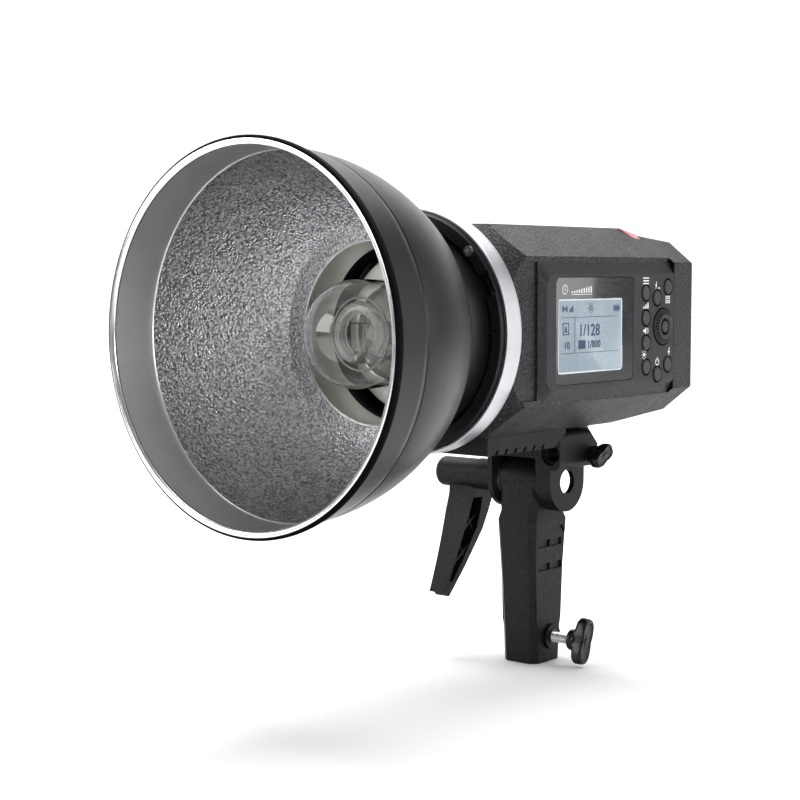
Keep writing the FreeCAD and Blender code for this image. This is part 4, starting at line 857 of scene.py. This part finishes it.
def draw_display(inner, face):
    front, bottom, back, top = inner
    wide, tall = back - front, top - bottom
    marks = Drawing(face + 0.01 * MM)

    def at(u, v):
        return front + u * wide, bottom + v * tall

    line = 0.28 * MM
    for v in (0.75, 0.27):
        for step in range(46):
            marks.bar(*at(0.06 + 0.0192 * step, v), 0.72 * MM, line)
    marks.bar(*at(0.25, 0.28), line, 0.47 * tall)
    for radius in (1.5, 2.4):
        for start in (-50, 130):
            marks.arc(*at(0.10, 0.87), radius * MM, 0.45 * MM, start, start + 100, 8)
    marks.dot(*at(0.10, 0.87), 0.6 * MM)
    for step in range(3):
        marks.bar(*at(0.17 + 0.022 * step, 0.825), 0.75 * MM, (1.6 + 0.8 * step) * MM)
    y, z = at(0.50, 0.87)
    marks.arc(y, z, 1.3 * MM, 0.5 * MM)
    for step in range(8):
        angle = TAU * step / 8
        marks.dot(y + 2.2 * MM * math.cos(angle), z + 2.2 * MM * math.sin(angle), 0.32 * MM)
    y, z = at(0.86, 0.82)
    marks.frame(y, z, 5.4 * MM, 3.4 * MM, 0.45 * MM)
    marks.bar(y + 5.4 * MM, z + 1.1 * MM, 0.6 * MM, 1.2 * MM)
    for step in range(3):
        marks.bar(y + (0.9 + 1.35 * step) * MM, z + 0.8 * MM, 1.0 * MM, 1.8 * MM)
    y, z = at(0.07, 0.52)
    marks.frame(y, z, 5.6 * MM, 6.2 * MM, 0.5 * MM)
    marks.polygon([(y + 1.4 * MM, z + 1.3 * MM), (y + 4.2 * MM, z + 1.3 * MM),
                   (y + 2.8 * MM, z + 4.9 * MM)])
    marks.number("1/128", *at(0.31, 0.50), 8.6 * MM)
    marks.number("10", *at(0.09, 0.335), 5.2 * MM)
    marks.bar(*at(0.31, 0.325), 6.4 * MM, 4.4 * MM)
    marks.number("1/800", *at(0.445, 0.335), 5.4 * MM)
    marks.done("display_marks", LCD_INK, "window")


def centre_of(node):
    lo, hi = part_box(node)
    return (lo.y + hi.y) / 2, (lo.z + hi.z) / 2


def draw_key_rings():
    """Painted shadow: a dark ring on the panel round every key and round the dial."""
    marks = Drawing(PANEL_X - 0.03 * MM)
    for number in range(1, 9):
        y, z = centre_of(f"button_{number}")
        marks.arc(y, z, 4.95 * MM, 1.05 * MM, 0, 360, 40)
    y, z = centre_of("dial")
    marks.arc(y, z, 10.2 * MM, 0.7 * MM, 0, 360, 64)
    marks.done("key_gap_shadows", GAP_BLACK, "control_panel")


def draw_labels():
    """Small generic pictograms beside the keys, and a plain gauge above the display."""
    marks = Drawing(PANEL_X + 0.005 * MM)
    up = 6.7 * MM
    marks.grow = 1.35

    def beside(number, side=1):
        y, z = centre_of(f"button_{number}")
        marks.pivot = (y, z + side * up)
        return marks.pivot

    y, z = beside(1)
    for step in range(3):
        marks.bar(y - 2.2 * MM, z + (1.1 * step - 1.4) * MM, 4.4 * MM, 0.5 * MM)
    y, z = beside(2)
    for step in range(3):
        marks.bar(y + (1.5 * step - 2.1) * MM, z - 1.2 * MM, 0.9 * MM, (0.9 + 0.7 * step) * MM)
    y, z = beside(3)
    marks.polygon([(y - 2.2 * MM, z - 0.5 * MM), (y - 1.2 * MM, z - 0.5 * MM),
                   (y, z - 1.4 * MM), (y, z + 1.4 * MM),
                   (y - 1.2 * MM, z + 0.5 * MM), (y - 2.2 * MM, z + 0.5 * MM)])
    marks.arc(y, z, 1.6 * MM, 0.4 * MM, -45, 45, 6)
    y, z = beside(4)
    marks.dot(y - 1.6 * MM, z, 0.8 * MM)
    for step in range(8):
        angle = TAU * step / 8
        marks.dot(y - 1.6 * MM + 1.6 * MM * math.cos(angle), z + 1.6 * MM * math.sin(angle),
                  0.26 * MM)
    y, z = beside(5)
    marks.bolt(y - 0.8 * MM, z, 1.6 * MM)
    marks.bar(y + 0.6 * MM, z - 1.2 * MM, 1.6 * MM, 0.5 * MM)
    y, z = beside(6, -1)
    for a in (0, 1):
        for b in (0, 1):
            marks.frame(y + (1.9 * a - 1.8) * MM, z + (1.7 * b - 1.6) * MM, 1.5 * MM, 1.3 * MM,
                        0.35 * MM)
    y, z = beside(7)
    marks.arc(y, z, 1.5 * MM, 0.42 * MM, 120, 420, 18)
    marks.bar(y - 0.22 * MM, z + 0.2 * MM, 0.44 * MM, 1.7 * MM)
    y, z = beside(8)
    marks.bolt(y + 1.0 * MM, z, 1.9 * MM)
    marks.done("key_labels", LABEL_WHITE, "control_panel")

    lo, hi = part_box("window")
    marks = Drawing(hi.x + 0.005 * MM)
    y, z = lo.y + 7.5 * MM, hi.z - 6.3 * MM
    marks.arc(y, z, 2.5 * MM, 0.4 * MM, 0, 360, 28)
    marks.bolt(y, z, 1.5 * MM)
    for step in range(9):
        marks.bar(y + (6 + 2.2 * step) * MM, z - 1.8 * MM, 1.1 * MM, (0.8 + 0.32 * step) * MM)
    marks.bar(y + 6 * MM, z - 2.7 * MM, 18.7 * MM, 0.3 * MM)
    marks.done("gauge_mark", LABEL_WHITE, "control_panel")


def make_dial():
    """Ring with slanted ridges on its sloping face and a flat inner land."""
    lo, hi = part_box("dial")
    centre = Vector((0, (lo.y + hi.y) / 2, (lo.z + hi.z) / 2))
    outer, bore = (hi.y - lo.y) / 2 - 0.7 * MM, 4.6 * MM
    teeth, count, slant = 30, 360, 900
    sections = ((lo.x, outer, 0), (hi.x - 1.7 * MM, outer, 0.05),
                (hi.x - 1.3 * MM, outer - 0.3 * MM, 0.6), (hi.x - 0.8 * MM, outer - 1.2 * MM, 1.7),
                (hi.x - 0.4 * MM, outer - 2.0 * MM, 1.8),
                (hi.x - 0.1 * MM, outer - 2.7 * MM, 1.6), (hi.x - 0.1 * MM, outer - 2.9 * MM, 0.0),
                (hi.x - 0.1 * MM, outer - 3.3 * MM, 0.0), (hi.x - 0.4 * MM, outer - 3.6 * MM, 0),
                (hi.x - 0.45 * MM, bore + 0.35 * MM, 0), (hi.x - 0.8 * MM, bore, 0), (lo.x, bore, 0))
    rings = []
    for x, radius, depth in sections:
        ring = []
        for index in range(count):
            angle = TAU * index / count
            wave = 0.5 + 0.5 * math.cos(teeth * angle + slant * (outer - radius))
            ring.append(Vector((x - depth * MM * wave ** 1.5, centre.y + radius * math.cos(angle),
                                centre.z + radius * math.sin(angle))))
        rings.append(ring)
    piece("knurled_dial", bridge(rings, close=True), [MATERIALS["key_rubber"]], "dial")


def make_button(node):
    """Domed key with a soft shoulder."""
    lo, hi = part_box(node)
    y, z = centre_of(node)
    flange = (hi.y - lo.y) / 2
    key = flange - 1.2 * MM
    step_x = lo.x + 2.2 * MM
    sections = ((lo.x, flange), (step_x, flange), (step_x, key), (hi.x - 0.9 * MM, key),
                (hi.x - 0.45 * MM, key - 0.12 * MM), (hi.x - 0.15 * MM, key - 0.45 * MM),
                (hi.x - 0.02 * MM, key - 1.0 * MM), (hi.x - 0.10 * MM, key * 0.55),
                (hi.x - 0.16 * MM, key * 0.2))
    rings = [[Vector((x, y + r * math.cos(TAU * i / 40), z + r * math.sin(TAU * i / 40)))
              for i in range(40)] for x, r in sections]
    piece(f"{node}_key", bridge(rings), [MATERIALS["key_rubber"]], node)


def make_sensor_end():
    """End of the red sensor cover, turned down over the right shoulder of the roof step."""
    y0, y1 = low("sensor_window").y, high("sensor_window").y
    ridge = high("sensor_window").z - 0.25 * MM
    fall = 3.35 * MM
    facet = Vector((20.5, 0, -19.0)).normalized()
    out = Vector((19.0, 0, 20.5)).normalized()
    start = Vector((38.0 * MM, y0, ridge))
    stop = Vector((42.2 * MM, y1, ridge - fall))
    shape = [start, stop, stop + facet * 4.6 * MM, start.lerp(stop, 0.45) + facet * 6.0 * MM]
    rings = [[p + out * h for p in shape] for h in (-1.5 * MM, 0.5 * MM)]
    inner = sum(shape, Vector()) / 4
    rings.append([inner + (p - inner) * 0.94 + out * 0.65 * MM for p in shape])
    piece("sensor_end", bridge(rings), [MATERIALS["sensor_red"]], "sensor_window", replaces=False)


def make_seam():
    """Dark parting line where the rear cover meets the casing."""
    joint = low("rear_cover").y
    spots = {(round(v.co.x, 5), round(v.co.z, 5)) for v in frame["nodes"]["rear_cover"].data.vertices
             if v.co.y < joint + 0.05 * MM}
    flat = [Vector(spot) for spot in sorted(spots)]
    outline = [flat[i] for i in geometry.convex_hull_2d(flat)]
    middle = sum(outline, Vector((0, 0))) / len(outline)

    def ring(y, inset):
        return [Vector((p.x, y, p.y)) for p in
                (q + (middle - q).normalized() * inset for q in outline)]

    rings = [ring(joint - 0.6 * MM, 0.14 * MM), ring(joint + 0.5 * MM, 0.14 * MM),
             ring(joint + 0.5 * MM, 1.6 * MM), ring(joint - 0.6 * MM, 1.6 * MM)]
    piece("cover_seam", bridge(rings, close=True), [GAP_BLACK], "rear_cover", replaces=False)


# ---- knobs ------------------------------------------------------------------------------------

def make_wing_knob(name, reach, half_thick, tilt):
    """Two-lobed thumb grip that grows out of a round hub, with a shallow hollow in each lobe."""
    node = f"{name}_knob"
    lo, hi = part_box(node)
    shank_lo, shank_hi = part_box(f"{name}_shank")
    y, z = (shank_lo.y + shank_hi.y) / 2, (shank_lo.z + shank_hi.z) / 2
    long, hub = hi.x - lo.x, half_thick + 1.3 * MM
    lean = math.radians(tilt)
    count = 96

    def lobe(angle):
        power = 3.2
        across, along = abs(math.sin(angle)), abs(math.cos(angle))
        thick = half_thick * (0.86 + 0.20 * along)
        return ((along / reach) ** power + (across / thick) ** power) ** (-1 / power)

    def section(x, grow, scale):
        ring = []
        for index in range(count):
            angle = TAU * index / count
            radius = (hub * 0.98 * (1 - grow) + lobe(angle) * grow) * scale
            along, across = radius * math.cos(angle), radius * math.sin(angle)
            ring.append(Vector((x, y + along * math.sin(lean) + across * math.cos(lean),
                                z + along * math.cos(lean) - across * math.sin(lean))))
        return ring

    plan = ((0.0, 0.0, 0.80), (0.04, 0.0, 0.95), (0.24, 0.0, 0.97), (0.30, 0.12, 0.95),
            (0.36, 0.55, 0.95), (0.42, 0.88, 0.97), (0.52, 1.0, 0.995), (0.70, 1.0, 1.0),
            (0.86, 1.0, 0.985), (0.95, 1.0, 0.95), (0.985, 1.0, 0.91), (1.0, 1.0, 0.86),
            (0.995, 1.0, 0.80), (0.95, 1.0, 0.76), (0.93, 1.0, 0.70), (0.93, 1.0, 0.35),
            (0.97, 0.3, 0.30), (0.985, 0.0, 0.24), (0.985, 0.0, 0.05))
    outside = [section(lo.x + long * u, grow, scale) for u, grow, scale in plan]
    piece(f"{name}_wing", bridge(outside), [MATERIALS["knob_plastic"]], node)


def make_shank(name, pitch):
    """Steel screw with its thread cut as a helical ridge."""
    node = f"{name}_shank"
    lo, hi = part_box(node)
    y, z = (lo.y + hi.y) / 2, (lo.z + hi.z) / 2
    radius = (hi.y - lo.y) / 2
    per_turn, count = 8, 32
    steps = max(int((hi.x - lo.x) / pitch * per_turn), 12)
    rings = []
    for step in range(steps + 1):
        x = lo.x + (hi.x - lo.x) * step / steps
        ring = []
        for index in range(count):
            angle = TAU * index / count
            phase = (x / pitch - index / count) % 1
            reach = radius - 0.38 * MM * abs(2 * phase - 1)
            reach = min(reach, radius - 0.5 * MM + abs(x - lo.x))
            ring.append(Vector((x, y + reach * math.cos(angle), z + reach * math.sin(angle))))
        rings.append(ring)
    piece(f"{name}_thread", bridge(rings), [MATERIALS["steel"]], node)


# ---- stage, light and camera ------------------------------------------------------------------

LOOK = Vector((-0.6343, 0.7695, -0.0750))


def make_stage():
    """White paper sweep: a floor that curves up into a wall well behind the object."""
    forward = Vector((LOOK.x, LOOK.y, 0)).normalized()
    side = Vector((forward.y, -forward.x, 0))
    bend, far, wide = 0.9, 2.2, 5.0
    line = [(-3.0, 0.0), (0.0, 0.0), (far, 0.0)]
    line += [(far + bend * math.sin(math.radians(a)), bend * (1 - math.cos(math.radians(a))))
             for a in range(10, 91, 10)]
    line += [(far + bend, 3.5)]
    bm = bmesh.new()
    rows = [[bm.verts.new(forward * d + side * s + Vector((0, 0, h))) for s in (-wide, wide)]
            for d, h in line]
    for a, b in zip(rows, rows[1:]):
        bm.faces.new((a[0], b[0], b[1], a[1]))
    show("paper_sweep", smooth_mesh("paper_sweep", bm, [stage_paper()]))


def area_light(name, place, target, size, power, colour=(1, 1, 1)):
    lamp = bpy.data.lights.new(name, "AREA")
    lamp.shape = "RECTANGLE"
    lamp.size, lamp.size_y = size
    lamp.energy = power
    lamp.color = colour
    obj = show(name, lamp)
    obj.location = place
    obj.rotation_euler = (Vector(target) - Vector(place)).to_track_quat("-Z", "Y").to_euler()


def make_lights():
    world = bpy.data.worlds.new("studio")
    world.use_nodes = True
    background = next(n for n in world.node_tree.nodes if n.type == "BACKGROUND")
    background.inputs["Color"].default_value = (0.95, 0.97, 1.0, 1)
    background.inputs["Strength"].default_value = 0.30
    bpy.context.scene.world = world
    bpy.context.scene.view_settings.view_transform = "Standard"
    area_light("overhead_soft", (-0.1, 0.15, 1.5), (0, -0.05, 0.15), (1.6, 1.2), 25)
    area_light("window_soft", (1.19, 0.895, 0.56), (0.1, 0.0, 0.22), (0.98, 1.0), 6)
    area_light("dish_front_soft", (-1.1, -1.5, 0.8), (0, -0.15, 0.18), (1.2, 1.0), 15)
    area_light("far_rim_soft", (-1.3, 0.3, 0.8), (0, -0.1, 0.2), (0.7, 1.2), 10)
    area_light("bowl_soft", (1.15, -0.62, 0.36), (-0.06, -0.16, 0.19), (0.45, 0.40), 4)
    area_light("wall_wash", (-0.6, 1.2, 2.6), (-1.9, 2.3, 0.4), (3.0, 1.5), 90)


def make_camera():
    data = bpy.data.cameras.new("photo_view")
    data.lens = 76.5
    data.sensor_width = 36.0
    camera = show("photo_view", data)
    camera.location = (0.5461, -0.7786, 0.2179)
    camera.rotation_euler = LOOK.to_track_quat("-Z", "Y").to_euler()
    bpy.context.scene.camera = camera


# ---- everything -------------------------------------------------------------------------------

OTHER_LOOK = {"clamp_insert": MATERIALS["plate_black"], "trigger_wire": DULL_WIRE}
for node_name, node_object in frame["nodes"].items():
    if not node_object.material_slots:
        node_object.data.materials.append(None)
    for entry in node_object.material_slots:
        entry.material = OTHER_LOOK.get(node_name, MATERIALS[SLOT_OF[node_name]])

make_dish()
make_rim()
make_collar_bead()
make_throat()
make_mount_ring()
make_dome()
make_flash_tube()
make_modelling_lamp()
make_lamp_clips()
draw_display(*make_window())
draw_key_rings()
draw_labels()
make_sensor_end()
make_seam()
make_dial()
for number in range(1, 9):
    make_button(f"button_{number}")
make_wing_knob("clamp_screw", 12.9 * MM, 5.0 * MM, 19)
make_wing_knob("umbrella_screw", 8.7 * MM, 4.2 * MM, 62)
make_shank("clamp_screw", 1.0 * MM)
make_shank("umbrella_screw", 0.8 * MM)
for node_name, width in (
        ("main_casing", 0.9 * MM), ("rear_cover", 0.9 * MM), ("control_panel", 0.5 * MM),
        ("bracket_skirt", 0.5 * MM), ("yoke", 0.7 * MM), ("handle_grip", 1.0 * MM),
        ("grip_panels", 0.35 * MM), ("tilt_lever", 0.7 * MM), ("pressure_boss", 0.7 * MM),
        ("sensor_window", 0.3 * MM), ("battery_latch", 0.4 * MM), ("port_panel", 0.25 * MM),
        ("set_button", 0.4 * MM)):
    softened(node_name, width)
make_stage()
make_lights()
make_camera()

bpy.context.view_layer.update()
